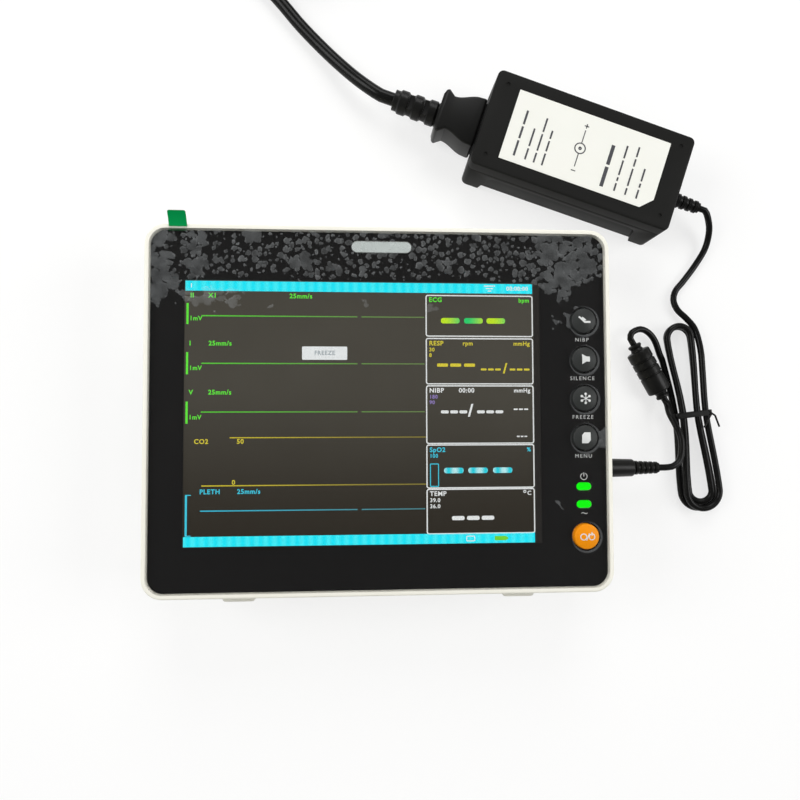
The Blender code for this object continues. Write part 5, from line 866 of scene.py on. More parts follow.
show("battery_sign", lit("battery green", "7BE22E"), *battery_sign)
green = [note("II", 2.2, 6.9), note("X1", 10.4, 6.9), note("25mm/s", 47.5, 6.9)]
green += [note("I", 1.9, 29.1), note("25mm/s", 10.6, 29.1), note("V", 1.9, 51.7), note("25mm/s", 10.6, 51.7)]
for top, low in SCALE_ROWS:
    green.append(bar(1.0, (top + low) / 2, 0.95, low - top))
    green.append(note("1mV", 1.9, (top + low) / 2 + 2.2, 2.0))
green += [note("ECG", TILE_LEFT, 8.0), note("bpm", TILE_RIGHT, 8.0, 1.9, "RIGHT")]
show("green_notes", lit("green", "62F03A", strength=1.1), *green)
green_light = lit("green trace", "5BE034", "6C8A4E", pitch=FADE, crest=TRACE_END)
show("traces", green_light, *[trace(*span, row) for span in TRACE_SPANS for row in TRACE_ROWS])
yellow = [note("CO2", 4.4, 74.3), note("50", 23.7, 74.3), note("0", 21.6, 93.0)]
yellow += [note("RESP", TILE_LEFT, 28.6), note("rpm", 128.5, 28.6, 1.9)]
yellow.append(note("mmHg", TILE_RIGHT, 28.6, 1.9, "RIGHT"))
yellow += [bar(u, 38.8, 5.2, 1.5, 0.5) for u in (118.9, 125.1, 131.7)]
yellow += [bar(u, 40.8, 2.7, 0.9, 0.3) for u in (138.4, 141.8, 145.2, 152.2, 155.6, 159.0)]
yellow += [note("/", 147.7, 40.5, 4.6), note("30", TILE_LEFT, 31.6, 1.7), note("8", TILE_LEFT, 34.2, 1.7)]
show("yellow_notes", lit("yellow", "E5D53A"), *yellow)
yellow_light = lit("yellow trace", "E0CC2C", "8E8234", pitch=FADE, crest=TRACE_END)
show("yellow_lines", yellow_light, trace(20.5, 110.9, 72.5), trace(7.9, 110.9, 94.4))
cyan = [note("PLETH", 7.1, 97.2), note("25mm/s", 24.0, 97.2)]
cyan += [bar(1.1, 107.8, 0.9, 18.6), bar(2.0, 98.6, 2.6, 0.4), bar(2.0, 117.0, 2.6, 0.4)]
cyan += [note("SpO2", TILE_LEFT, 78.6), note("%", TILE_RIGHT, 78.6, 1.9, "RIGHT")]
cyan += [note("100", TILE_LEFT, 81.4, 1.7), outline(114.8, 90.3, 4.2, 10.8, 0.4, 0.5)]
show("cyan_notes", lit("pale cyan", "3FD8F2"), *cyan)
pill_light = lit("cyan pills", "0CDDEE", "C8FBFD", pitch=5.8, crest=SCREEN_LEFT + 124.4)
show("cyan_pills", pill_light, *[bar(u, 88.2, 9.2, 2.6, 1.1) for u in (123.9, 135.3, 147.0)])
cyan_trace = lit("cyan trace", "32CCEA", "4C8C96", pitch=FADE, crest=TRACE_END)
show("cyan_line", cyan_trace, *[trace(*span, 105.8) for span in TRACE_SPANS])
white = [outline(TILE_MIDDLE, (top + low) / 2, TILE_WIDTH, low - top, 0.55, 1.2) for top, low in TILES]
white += [note("NIBP", TILE_LEFT, 50.8), note("00:00", 126.5, 50.8)]
white.append(note("mmHg", TILE_RIGHT, 50.8, 1.9, "RIGHT"))
white += [bar(u, 60.8, 3.7, 1.4, 0.6) for u in (119.8, 124.2, 128.6, 136.9, 141.3, 145.7)]
white.append(note("/", 130.9, 60.4, 5.6))
white += [bar(u, 59.6, 1.9, 0.7, 0.2) for u in (153.5, 156.0, 158.5)]
white += [bar(u, 72.4, 1.3, 0.6) for u in (154.6, 156.4, 158.2)]
white += [note("TEMP", TILE_LEFT, 99.0), note("39.0", TILE_LEFT, 102.0, 1.8)]
white.append(note("36.0", TILE_LEFT, 104.8, 1.8))
white += [bar(u, 110.3, 6.0, 1.9, 0.9) for u in (125.8, 132.9, 139.8)]
white += [outline(157.4, 98.2, 1.4, 1.4, 0.35, 0.65), note("C", TILE_RIGHT, 99.0, 1.9, "RIGHT")]
show("white_notes", lit("white", "F4F7F6"), *white)
violet = [note("180", TILE_LEFT, 53.8, 1.7), note("90", TILE_LEFT, 56.4, 1.7)]
show("violet_notes", lit("violet", "9A86C8"), *violet)
pulse_light = lit("yellow green", "CDF51A", "20DC72", pitch=23, crest=SCREEN_LEFT + 130.5)
show("pulse_bars", pulse_light, *[bar(u, 17.8, 8.9, 2.6, 1.1) for u in (122.7, 133.7, 144.4)])
show("message_box", lit("message box", "F6FAFA"), bar(63.8, 33.4, 20.9, 6.2, 0.5))
message = note("FREEZE", 63.8, 33.4, 1.9, "CENTER", layer=2.5)
show("message", lit("message letters", "A9B3B8"), message)

# Printed sheet: black polyester behind the lens, with windows for the screen, the lamps and the alarm light.
# The key names and two signs are printed white on it.
SHEET_CORNER = 7.2
DARK_EDGE = 3
PRINT_LOW = box_of("graphic_sheet")[1].z + 0.04
KEY_NAMES = ("NIBP", "SILENCE", "FREEZE", "MENU")
NAME_DROP = 8.7
POWER_SIGN_Y = -31.6
MAINS_SIGN_Y = -48.6


def front_plate(node, key_room):
    """A plate as large as a CAD plate of the front, with round holes for the keys."""
    low, high = box_of(node)
    plate = block(high - low, (low + high) / 2, corner=SHEET_CORNER, steps=12)
    for _, _, y in KEYS:
        hole = rod(KEY_RADIUS + key_room, (KEY_X, y, low.z - WALL), (KEY_X, y, high.z + WALL), 64)
        combine(plate, "DIFFERENCE", hole)
    return plate


sheet = front_plate("graphic_sheet", KEY_ROOM)
window_middle = SCREEN_MIDDLE + Vector((DARK_EDGE / 2, 0, SEAT))
combine(sheet, "DIFFERENCE", block((SCREEN_WIDTH + DARK_EDGE, SCREEN_HEIGHT, 5), window_middle))
edge_middle = (SCREEN_LEFT + SCREEN_WIDTH + DARK_EDGE / 2, SCREEN_MIDDLE.y, PRINT_LOW - 0.2)
dark_edge = block((DARK_EDGE - 0.1, SCREEN_HEIGHT, 0.2), edge_middle)
dark_glass = moulded("unlit edge of the glass", "262320", "1F1D1B", 0.3, 8, 0.002, specular=0.1)
settle(dark_edge, "unlit_edge", dark_glass, "screen_glass")
combine(sheet, "DIFFERENCE", *light_windows())
black_print = moulded("black printed polyester", "060505", "0A0908", 0.35, 0.3, 0.005, specular=0.1)
settle(sheet, "printed_sheet", black_print, "black_print", "graphic_sheet")
printed = [
    words(name, (KEY_X, y - NAME_DROP, PRINT_LOW), 1.75, PLATE, "CENTER", spacing=1.35, bold=0.0)
    for name, (_, _, y) in zip(KEY_NAMES, KEYS)
]
ring = rod(1.7, (KEY_X, POWER_SIGN_Y, PRINT_LOW), (KEY_X, POWER_SIGN_Y, PRINT_LOW + PLATE))
combine(ring, "DIFFERENCE", rod(1.4, (KEY_X, POWER_SIGN_Y, SEAT), (KEY_X, POWER_SIGN_Y, SEAT + WALL)))
combine(ring, "DIFFERENCE", block((1.3, 2, 2), (KEY_X, POWER_SIGN_Y + 1.4, PRINT_LOW)))
stroke = block((0.34, 1.9, PLATE), (KEY_X, POWER_SIGN_Y + 0.9, PRINT_LOW + PLATE / 2), corner=0.15)
mains_sign = words("~", (KEY_X, MAINS_SIGN_Y, PRINT_LOW), 4.2, PLATE, "CENTER", bold=-0.02)
white_ink = moulded("white screen-printing ink", "D6D8D6", "CBCDCB", 0.5, 0.4, 0.004)
settle(joined(printed + [ring, stroke, mains_sign]), "key_names", white_ink, "label_white")

# Lens: clear cast acrylic over the whole front, polished, with holes for the keys.
# It mirrors the room faintly and lets the rest through.
lens = front_plate("front_lens", KEY_ROOM)
clear_acrylic, tree, shader, where = blank("polished clear acrylic")
waves = add(tree, "TexNoise", {"Vector": where, "Scale": 1 / (30 * MM), "Detail": 1.0})
ripple = add(tree, "Bump", {"Height": waves, "Distance": 0.02 * MM, "Strength": 0.3})
shine = add(tree, "Fresnel", {"IOR": 1.49, "Normal": ripple})
back = add(tree, "NewGeometry", output="Backfacing")
front_only = add(tree, "Math", {0: 1.0, 1: back}, operation="SUBTRACT")
shine = add(tree, "Math", {0: shine, 1: front_only}, operation="MULTIPLY")
feed(tree, shader, {"Base Color": (1, 1, 1, 1), "Metallic": 1.0, "Roughness": 0.03, "Normal": ripple})
through = add(tree, "BsdfTransparent")
surface = add(tree, "MixShader", {0: shine, 1: through, 2: shader.outputs[0]})
feed(tree, tree.nodes["Material Output"], {"Surface": surface})
settle(lens, "clear_lens_plate", clear_acrylic, "clear_lens", "front_lens")

# Shipping film: thin clear film stuck over the lens, cut out round the keys.
# It holds best over the screen. Along the top edge and in the corners, trapped air shows as pale grey blobs.
FILM_KEY_ROOM = 0.9
FLAT = (1, 1, 0)
# Middle and reach of each loose patch: left corner, top, over the screen, right corner, beside the keys
LOOSE_PATCHES = [(-101, 79, 7), (-102, 68, 7), (-101, 57, 9), (-103, 50, 5), (-94, 58, 5), (-85, 77, 6)]
LOOSE_PATCHES += [(-84, 68, 7), (-60, 80, 6), (-37, 70, 6), (-22, 65, 5), (30, 67, 5)]
LOOSE_PATCHES += [(-87, 51, 5), (-79, 51, 6), (-70, 51, 5), (-52, 48, 2.4), (-6, 49, 2), (22, 48, 2.2)]
LOOSE_PATCHES += [(80, 77, 9), (94, 76, 9), (78, 62, 7), (88, 64, 9), (97, 66, 7), (85, 54, 4)]
LOOSE_PATCHES += [(90, 44, 4), (90, 39, 4), (81, 40.5, 2.4), (104.5, -13, 4.5), (81.5, -27, 1.3)]
LOOSE_PATCHES.append((81, -44, 1.4))


def wandering(tree, where, size, detail, reach):
    """Coordinates that wander by up to half a reach, in waves of a size."""
    waves = {"Vector": where, "Scale": 1 / (size * MM), "Detail": detail}
    waves = add(tree, "TexNoise", waves, output="Color")
    push = add(tree, "VectorMath", {0: waves, 1: (0.5, 0.5, 0.5)}, operation="SUBTRACT")
    push = add(tree, "VectorMath", {0: push, "Scale": reach * MM}, operation="SCALE")
    return add(tree, "VectorMath", {0: where, 1: push}, operation="ADD")


film = front_plate("protective_film", FILM_KEY_ROOM)
clinging_film, tree, shader, where = blank("clinging clear film")
# Drops of air about 3 mm apart that run into each other, with outlines that wander by up to a millimetre
bent = wandering(tree, where, 2.4, 1.0, 2.2)
drops = {"Vector": bent, "Scale": 1 / (2.9 * MM), "Smoothness": 0.22}
drops = add(tree, "TexVoronoi", drops, voronoi_dimensions="2D", feature="SMOOTH_F1").node.outputs
chance = add(tree, "SeparateXYZ", {0: drops["Color"]}, output="X")
reach = add(tree, "MapRange", {"Value": chance, "To Min": -0.12, "To Max": 0.42})
drop = add(tree, "Math", {0: reach, 1: drops["Distance"]}, operation="SUBTRACT")
# Where it has come loose: a band along the top, and patches whose outlines wander by some millimetres
swayed = wandering(tree, where, 7, 2.0, 14)
swayed = add(tree, "VectorMath", {0: swayed, 1: FLAT}, operation="MULTIPLY")
high = add(tree, "SeparateXYZ", {0: swayed}, output="Y")
loose = {"Value": high, "From Min": 56 * MM, "From Max": 63 * MM, "To Min": -0.7, "To Max": 0.22}
loose = add(tree, "MapRange", loose)
for x, y, size in LOOSE_PATCHES:
    spot = Vector((x, y, 0)) * MM
    away = add(tree, "VectorMath", {0: swayed, 1: spot}, operation="DISTANCE", output="Value")
    near = {"Value": away, "From Min": 0.6 * size * MM, "From Max": 1.3 * size * MM}
    near = add(tree, "MapRange", near | {"To Min": 0.7, "To Max": -0.7})
    loose = add(tree, "Math", {0: loose, 1: near}, operation="MAXIMUM")
depth = add(tree, "Math", {0: drop, 1: loose}, operation="ADD")
# The haze of a blob is uneven, and brighter at its rim by a painted highlight, about twice the haze of its
# middle
air = add(tree, "MapRange", {"Value": depth, "From Min": 0.0, "From Max": 0.09})
painted_rim_highlight = {"Value": depth, "From Min": 0.05, "From Max": 0.25, "To Min": 0.105, "To Max": 0.052}
painted_rim_highlight = add(tree, "MapRange", painted_rim_highlight)
haze_and_painted_highlights = add(tree, "Math", {0: air, 1: painted_rim_highlight}, operation="MULTIPLY")
uneven = add(tree, "TexNoise", {"Vector": where, "Scale": 1 / (5 * MM), "Detail": 3.0})
uneven = {"Value": uneven, "From Min": 0.35, "From Max": 0.65, "To Min": 0.6, "To Max": 1.3}
uneven = add(tree, "MapRange", uneven)
haze_and_painted_highlights = add(tree, "Math", {0: haze_and_painted_highlights, 1: uneven}, operation="MULTIPLY")
# Each blob bulges, so that the rear light catches its far side
bulge = add(tree, "MapRange", {"Value": depth, "From Min": 0.0, "From Max": 0.3})
bulge = add(tree, "Bump", {"Height": bulge, "Distance": 0.5 * MM, "Strength": 1.0})
# The cut edge round each key stands up and catches the light, painted as a pale highlight ring a little off
# the key's middle
flat = add(tree, "VectorMath", {0: where, 1: FLAT}, operation="MULTIPLY")
for _, _, y in KEYS:
    middle = Vector((KEY_X + 0.4, y - 0.4, 0)) * MM
    away = add(tree, "VectorMath", {0: flat, 1: middle}, operation="DISTANCE", output="Value")
    edge = {"Value": away, "From Min": (KEY_RADIUS + 1.1) * MM, "From Max": (KEY_RADIUS + 1.7) * MM}
    edge = add(tree, "MapRange", edge | {"To Min": 0.06, "To Max": 0.0})
    haze_and_painted_highlights = add(tree, "Math", {0: haze_and_painted_highlights, 1: edge}, operation="MAXIMUM")
feed(tree, shader, {"Base Color": linear("C4C8C9"), "Roughness": 0.35, "Normal": bulge})
through = add(tree, "BsdfTransparent")
surface = add(tree, "MixShader", {0: haze_and_painted_highlights, 1: through, 2: shader.outputs[0]})
feed(tree, tree.nodes["Material Output"], {"Surface": surface})
settle(film, "shipping_film", clinging_film, "clear_film", "protective_film")

# Pull tab: a strip of the film that runs out over the rim, with green polyester tape on its free end.
# It leans to the left and stands up a little, to pull the film off by.
TAB_ROUND = 0.8
TAB_SHIFT = 1.2
TAB_WIDER = 0.3
TAB_LEAN = 0.6
TAB_SHORTER = 0.7
TAB_RISE = 1.6
FREE_FROM = 84
FREE_LENGTH = 7.3
TAPE_START = HOUSING_HEIGHT / 2 - 1.4
low, high = box_of("pull_tab")
middle = (low + high) / 2
bpy.ops.object.select_all(action="DESELECT")
bpy.ops.mesh.primitive_grid_add(x_subdivisions=8, y_subdivisions=40, size=1)
tab = bpy.context.object
for point in tab.data.vertices:
    x = middle.x + point.co.x * (high.x - low.x)
    y = middle.y + point.co.y * (high.y - low.y)
    side = 2 * point.co.x
    free = max(0.0, (y - FREE_FROM) / FREE_LENGTH)
    over = min(max(0.0, y - high.y + TAB_ROUND), TAB_ROUND)
    drawn_in = TAB_ROUND - math.sqrt(TAB_ROUND**2 - over**2)
    x += TAB_SHIFT + side * (TAB_WIDER - drawn_in) - TAB_LEAN * free
    y -= TAB_SHORTER * min(free, 1.0)
    point.co = Vector((x, y, low.z + TAB_RISE * free**2)) * MM
thicken = tab.modifiers.new("tape", "SOLIDIFY")
thicken.thickness = (high.z - low.z) * MM
thicken.offset = 1.0
apply(tab, thicken)
tab_green = moulded("green polyester tape", "008A48", "008140", 0.4, 0.6, 0.01, specular=0.05)
tree = tab_green.node_tree
where = add(tree, "TexCoord", output="Object")
along = add(tree, "SeparateXYZ", {0: where}, output="Y")
taped = {"Value": along, "From Min": TAPE_START * MM, "From Max": (TAPE_START + 0.05) * MM, "To Min": 0.06}
taped = add(tree, "MapRange", taped)
through = add(tree, "BsdfTransparent")
tape = tree.nodes["Principled BSDF"].outputs[0]
surface = add(tree, "MixShader", {0: taped, 1: through, 2: tape})
feed(tree, tree.nodes["Material Output"], {"Surface": surface})
settle(tab, "film_tab", tab_green, "tab_green", "pull_tab")

# Lamps and alarm light: moulded light pipes behind windows of the sheet, each with a flange under the web.
# The two lamps are lit green. The alarm bar is frosted and dark.
FLANGE = 1.2
lit_lens, tree, shader, where = blank("lit green acrylic")
frost = add(tree, "TexNoise", {"Vector": where, "Scale": 1 / (1.2 * MM), "Detail": 3.0})
shade = add(tree, "Mix", {0: frost, 6: linear("00FF00"), 7: linear("00F400")}, data_type="RGBA", output=2)
feed(tree, shader, {"Emission Color": shade, "Emission Strength": 1.0, "Base Color": linear("000800")})
feed(tree, shader, {"Roughness": 0.3, "Specular IOR Level": 0.0})
frosted = moulded("frosted clear acrylic", "C2C9C6", "B6BFBB", 0.4, 0.5, 0.03, ior=1.49)
for name, node, width, height, spot in LIGHTS:
    low, high = box_of(node)
    rise = high.z - low.z - FLANGE / 2
    flange = block((high.x - low.x, high.y - low.y, FLANGE), (*spot, low.z + FLANGE / 2), corner=1.2)
    pipe = block((width, height, rise), (*spot, high.z - rise / 2), corner=height * 0.495, top=0.2)
    finish, slot = (frosted, "alarm_clear") if name == "alarm_light" else (lit_lens, "lamp_green")
    settle(combine(pipe, "UNION", flange), name, finish, slot, node)

# Keys: moulded silicone domes on a stem, held by a flange under the web, each over a tact switch.
# The signs are printed white on the crowns. The power key is orange.
KEY_EDGE = 52.7
KEY_LOW = box_of("menu_button")[0].z
SIGN_LOW = 50
SIGN_HIGH = 56
INK_ON_KEY = 0.04


def key_form(grow=0.0):
    """The turned form of a key, from its stem to its crown. Grown, it bounds the ink on the crown."""
    stations = [(1.5, KEY_LOW), (1.5, 44.8), (KEY_RADIUS + 1.2, 44.8), (KEY_RADIUS + 1.2, 46.0)]
    stations += [(KEY_RADIUS, 46.0), (KEY_RADIUS, 52.2), (KEY_RADIUS - 0.06, 52.4), (KEY_RADIUS - 0.22, 52.6)]
    crown = KEY_RADIUS - 0.5
    for step in range(12):
        share = 1 - step / 12
        stations.append((crown * share, KEY_EDGE + 0.7 * (1 - share**2) + 0.5 * (1 - share)))
    return turned([(radius + grow, height + grow) for radius, height in stations], 64)


def cut_out(points, low, high):
    """A flat shape between two heights, from the corners of its outline in turn."""
    bpy.ops.object.select_all(action="DESELECT")
    bpy.ops.mesh.primitive_circle_add(vertices=len(points), radius=1, fill_type="NGON")
    piece = bpy.context.object
    for corner, (x, y) in zip(piece.data.vertices, points):
        corner.co = Vector((x, y, low)) * MM
    bpy.ops.object.mode_set(mode="EDIT")
    bpy.ops.mesh.select_all(action="SELECT")
    bpy.ops.mesh.extrude_region_move(TRANSFORM_OT_translate={"value": (0, 0, (high - low) * MM)})
    bpy.ops.mesh.select_all(action="SELECT")
    bpy.ops.mesh.normals_make_consistent(inside=False)
    bpy.ops.object.mode_set(mode="OBJECT")
    return piece


def stroke_between(start, end, width):
    """A straight stroke of a sign, from the key's middle."""
    run = Vector(end) - Vector(start)
    side = Vector((-run.y, run.x)).normalized() * width / 2
    corners = [Vector(start) - side, Vector(end) - side, Vector(end) + side, Vector(start) + side]
    return cut_out(corners, SIGN_LOW, SIGN_HIGH)


def dot(x, y, radius, hole=0.0):
    """A dot of a sign, or a ring with a hole, from the key's middle."""
    piece = rod(radius, (x, y, SIGN_LOW), (x, y, SIGN_HIGH), 24)
    if hole:
        combine(piece, "DIFFERENCE", rod(hole, (x, y, SIGN_LOW - 1), (x, y, SIGN_HIGH + 1), 24))
    return piece


arm_sign = [
    stroke_between((-2.6, 1.8), (0.1, -0.9), 0.8),
    stroke_between((-0.2, -0.8), (2.9, -0.7), 0.9),
    stroke_between((-1.2, 1.4), (0.4, 0.0), 0.8),
]
horn = [(-1.4, -2.3), (0.6, -1.1), (2.3, -1.1), (2.3, 1.3), (0.6, 1.3), (-1.4, 2.5)]
horn_sign = [cut_out(horn, SIGN_LOW, SIGN_HIGH)]
frost_sign = [dot(0.0, 0.0, 0.45)]
for number in range(6):
    turn = math.radians(30 + 60 * number)
    tip = Vector((math.cos(turn), math.sin(turn)))
    frost_sign += [stroke_between(tip * 0.3, tip * 1.8, 0.35), dot(*(tip * 2.1), 0.6)]
page = [(-2.0, -2.6), (1.0, -2.6), (2.1, -1.2), (2.1, 2.5), (-0.8, 2.5), (-2.0, 1.2)]
page_sign = [cut_out(page, SIGN_LOW, SIGN_HIGH)]
power_sign = [
    dot(-1.9, 0.0, 1.6, 1.15),
    stroke_between((-0.6, -1.6), (0.7, 1.6), 0.45),
    dot(2.0, 0.0, 1.6, 1.15),
    stroke_between((2.0, 0.6), (2.0, 2.2), 0.45),
]
SIGNS = [arm_sign, horn_sign, frost_sign, page_sign, power_sign]
# Silicone rubber, moulded: dull, with a bloom of fine dust on it
key_grey = moulded("dark grey silicone", "2E302F", "282A29", 0.5, 0.5, 0.03, ior=1.41, specular=0.3)
key_orange = moulded("orange silicone", "EC9004", "E38602", 0.5, 0.5, 0.03, ior=1.41, specular=0.2)
for (node, body, y), sign in zip(KEYS, SIGNS):
    tone, slot = (key_orange, "key_orange") if node == "power_button" else (key_grey, "key_grey")
    sign_piece = combine(joined(sign), "INTERSECT", key_form(INK_ON_KEY))
    key = key_form()
    for piece in (sign_piece, key):
        piece.location = Vector((KEY_X, y, 0)) * MM
    settle(sign_piece, node + "_sign", white_ink, "label_white", body=body)
    settle(key, node + "_dome", tone, slot, node, body=body)


# Plug of the direct-current lead: moulded vinyl over a gilded barrel, with a ribbed strain relief.
# It is pushed into the jack.
def ribbed(start, length, radius, tip, ribs, groove):
    """Stations of a strain relief whose ribs get smaller from a radius to its tip's."""
    stations = []
    pitch = length / ribs
    for i in range(ribs):
        rib = radius + (tip - radius) * i / (ribs - 1)
        foot = start + pitch * i
        stations += [(rib - groove, foot), (rib, foot + 0.12 * pitch), (rib, foot + 0.58 * pitch)]
        stations.append((rib - groove, foot + 0.7 * pitch))
    stations.append((tip - groove, start + length))
    return stations


# Soft vinyl, moulded: near black, smoother than the lead
moulded_vinyl = moulded("moulded soft vinyl", "121211", "181817", 0.34, 0.8, 0.02, specular=0.16)
plug_body = [(4.5, 0.5), (4.9, 0.7), (5.0, 1.2), (5.0, 9.4), (4.85, 9.9), (4.5, 23.0), (4.2, 23.6)]
plug_body.append((3.6, 24.0))
plug = turned(plug_body + ribbed(24.4, 13.0, 3.6, 3.1, 5, 0.6))
settle(put(plug, JACK, (1, 0, 0)), "dc_plug_body", moulded_vinyl, "cord_vinyl", "dc_plug")
barrel = turned([(2.55, -8.0), (2.75, -7.7), (2.75, 1.0)])
combine(barrel, "DIFFERENCE", rod(1.4, (0, 0, -9), (0, 0, 0), 24))
settle(put(barrel, JACK, (1, 0, 0)), "dc_plug_barrel", gilt, "screw_steel")

# Ferrite core: a ferrite sleeve over-moulded in vinyl, with a collar at each end.
# Three grooves go round it.
core_end = [(2.9, -16.25), (3.5, -15.9), (3.6, -15.1), (2.9, -13.9), (3.4, -12.6)]
core_end += [(5.3, -12.25), (5.9, -12.0), (6.2, -11.4)]
core = list(core_end)
for foot in (-2.94, 1.47, 5.88):
    core += [(6.2, foot), (5.7, foot + 0.4), (5.7, foot + 0.8), (6.2, foot + 1.2)]
core += [(radius, -reach) for radius, reach in core_end[::-1]]
core_sleeve = put(turned(core, 56), CORE_MIDDLE, CORE_ALONG)
settle(core_sleeve, "ferrite_sleeve", moulded_vinyl, "cord_vinyl", "ferrite_core")


# Ties: flat vinyl bands round the waist of the hank and round the coil.
# The one on the hank has a wire core, and its twisted end stands out.
def band(half, height, width):
    """A closed band round a bundle, standing on the table along X."""
    thick = 0.8
    middle = (0, 0.1 + height / 2, 0)
    piece = block((2 * half + 2 * thick, height, width), middle, corner=2.3)
    opening = block((2 * half, height - 2 * thick, 2 * width), middle, corner=1.5)
    return soften(combine(piece, "DIFFERENCE", opening), 0.2)


TIE_WIRE = 0.5
TWIST = (-9.4, 10.0, -0.6)
TIE_TAILS = [
    [(-8.2, 9.6, 0.9), TWIST, (-10.9, 10.2, -1.9), (-13.2, 8.6, -8.2)],
    [TWIST, (-7.6, 10.5, -2.4), (-4.2, 9.9, -7.6)],
]
tie = band(9.8, 9.75, 3.0)
for tail in TIE_TAILS:
    for start, end in zip(tail, tail[1:]):
        combine(tie, "UNION", rod(TIE_WIRE, start, end, 16))
tie.rotation_euler = (math.radians(90), 0.0, HANK_ANGLE + math.radians(90))
tie.location = HANK_MIDDLE * MM
settle(tie, "hank_tie", moulded_vinyl, "cord_vinyl", "twist_tie")

# Adapter: a base and a cover of black ABS, glued in one line round the sides. The base is sunk between
# two ears on each long side, and the cover has a shallow place for the label and four dimples.
ADAPTER_LENGTH = 107
ADAPTER_WIDTH = 51
ADAPTER_CORNER = 3
BASE_HEIGHT = 22.5
COVER_HEIGHT = 8.2
COVER_MIDDLE = 26.9
LABEL_SEAT = 30.5
LEAD_HEIGHT = 12
adapter_abs = moulded("black moulded ABS", "1A1A19", "212120", 0.48, 0.5, 0.02, specular=0.06)


def lay(piece):
    """Sets a piece that was made along X down at the adapter's place."""
    piece.rotation_euler = (0.0, 0.0, ADAPTER_ANGLE)
    piece.location = ADAPTER_MIDDLE * MM
    return piece


def arc(x, y, radius, start, end, steps=8):
    """Points of an arc, in degrees."""
    turns = [math.radians(start + (end - start) * i / steps) for i in range(steps + 1)]
    return [(x + radius * math.cos(turn), y + radius * math.sin(turn)) for turn in turns]


base_size = (ADAPTER_LENGTH, ADAPTER_WIDTH, BASE_HEIGHT)
base = block(base_size, (0, 0, BASE_HEIGHT / 2), corner=ADAPTER_CORNER, low=1)
arch = [(-44.5, -3.0), (44.5, -3.0), (41.5, 11.4)] + arc(35.5, 13, 6, 15, 90) + arc(-35.5, 13, 6, 90, 165)
arch.append((-41.5, 11.4))
for side in (-1, 1):
    sink = cut_out(arch, -2.4, 2.4)
    sink.rotation_euler = (math.radians(90), 0.0, 0.0)
    sink.location = (0.0, side * ADAPTER_WIDTH / 2 * MM, 0.0)
    combine(base, "DIFFERENCE", sink)
base_room = block((102.6, 42.2, 30), (0, 0, 17.2))
inlet_room = block((5, 28.2, 30), (-ADAPTER_LENGTH / 2, 0, 17.5))
combine(base, "DIFFERENCE", base_room, inlet_room, rod(4.3, (46.9, 0, LEAD_HEIGHT), (60, 0, LEAD_HEIGHT)))
soften(base, 0.35)
settle(lay(base), "adapter_tub", adapter_abs, "adapter_plastic", "adapter_base")
LABEL = [(-40.4, 18.5), (-40.4, -18.5), (35.6, -18.5), (41.6, -12.5), (41.6, 18.5)]
label_room = [(x + math.copysign(0.3, x), y + math.copysign(0.3, y)) for x, y in LABEL]
cover_size = (ADAPTER_LENGTH, ADAPTER_WIDTH, COVER_HEIGHT)
cover = block(cover_size, (0, 0, COVER_MIDDLE), corner=ADAPTER_CORNER, top=1)
combine(cover, "DIFFERENCE", cut_out(label_room, LABEL_SEAT, 35), block((102.6, 46.6, 8.5), (0, 0, 24.55)))
for x in (-47, 47):
    for y in (-19, 19):
        combine(cover, "DIFFERENCE", rod(1.1, (x, y, LABEL_SEAT), (x, y, 35), 24))
settle(lay(cover), "adapter_lid", adapter_abs, "adapter_plastic", "adapter_cover")
dress(jack_nylon, "adapter_inlet")

# Rating label: matt white polyester with one corner cut off, stuck in the cover.
# It carries rows of plain bars and the sign for a plug whose middle is positive.
LABEL_LOW = 30.8
LABEL_TOP = 31
INK_LOW = LABEL_TOP + 0.02
INK = 0.05
INK_START = -15.0
INK_GAP = 1.2
# Rows across the label: place, width of the row, and the lengths of its bars
INK_ROWS = [
    (-33.4, 1.1, (8.2, 6.4, 7.4)),
    (-27.4, 0.9, (6.0, 9.6)),
    (-22.8, 0.9, (5.2, 9.0, 7.4)),
    (-18.4, 0.9, (6.4, 5.6, 4.4)),
    (13.6, 1.9, (10.6, 10.6)),
    (20.6, 0.9, (4.2, 2.0, 8.0, 6.8)),
    (26.6, 0.9, (3.6, 9.4, 4.0, 5.4)),
    (32.6, 0.9, (4.8, 2.2, 6.8)),
]
PLUG_SIGN_X = -2.4
# The sign's strokes: place across the label, width and height of the two leads, of plus and of minus
PLUG_SIGN_BARS = [(6.4, 0.5, 6.9), (-6.4, 0.5, 6.9), (12.0, 2.4, 0.5), (12.0, 0.5, 2.4), (-12.0, 2.4, 0.5)]


def ink_bar(x, y, width, height):
    """A printed bar on the label."""
    return block((width, height, INK), (x, y, INK_LOW + INK / 2), corner=0.1, steps=3)


def ink_ring(x, y, radius, hole):
    """A printed ring on the label."""
    piece = rod(radius, (x, y, INK_LOW), (x, y, INK_LOW + INK))
    return combine(piece, "DIFFERENCE", rod(hole, (x, y, LABEL_TOP - 1), (x, y, LABEL_TOP + 1)))


label_stock = moulded("matt white polyester label", "EDEDE6", "E6E6DE", 0.45, 0.6, 0.006)
label = cut_out(LABEL, LABEL_LOW, LABEL_TOP)
settle(lay(label), "rating_label", label_stock, "label_white", "adapter_label")
ink = []
for x, thick, lengths in INK_ROWS:
    y = INK_START
    for length in lengths:
        ink.append(ink_bar(x, y + length / 2, thick, length))
        y += length + INK_GAP
ink += [ink_ring(PLUG_SIGN_X, 0, 3.0, 2.4), ink_ring(PLUG_SIGN_X, 0, 0.9, 0.2)]
ink += [ink_bar(PLUG_SIGN_X, *stroke) for stroke in PLUG_SIGN_BARS]
label_ink = moulded("black label ink", "35353A", "424247", 0.5, 0.4, 0.004)
settle(lay(joined(ink)), "label_print", label_ink, "black_print")

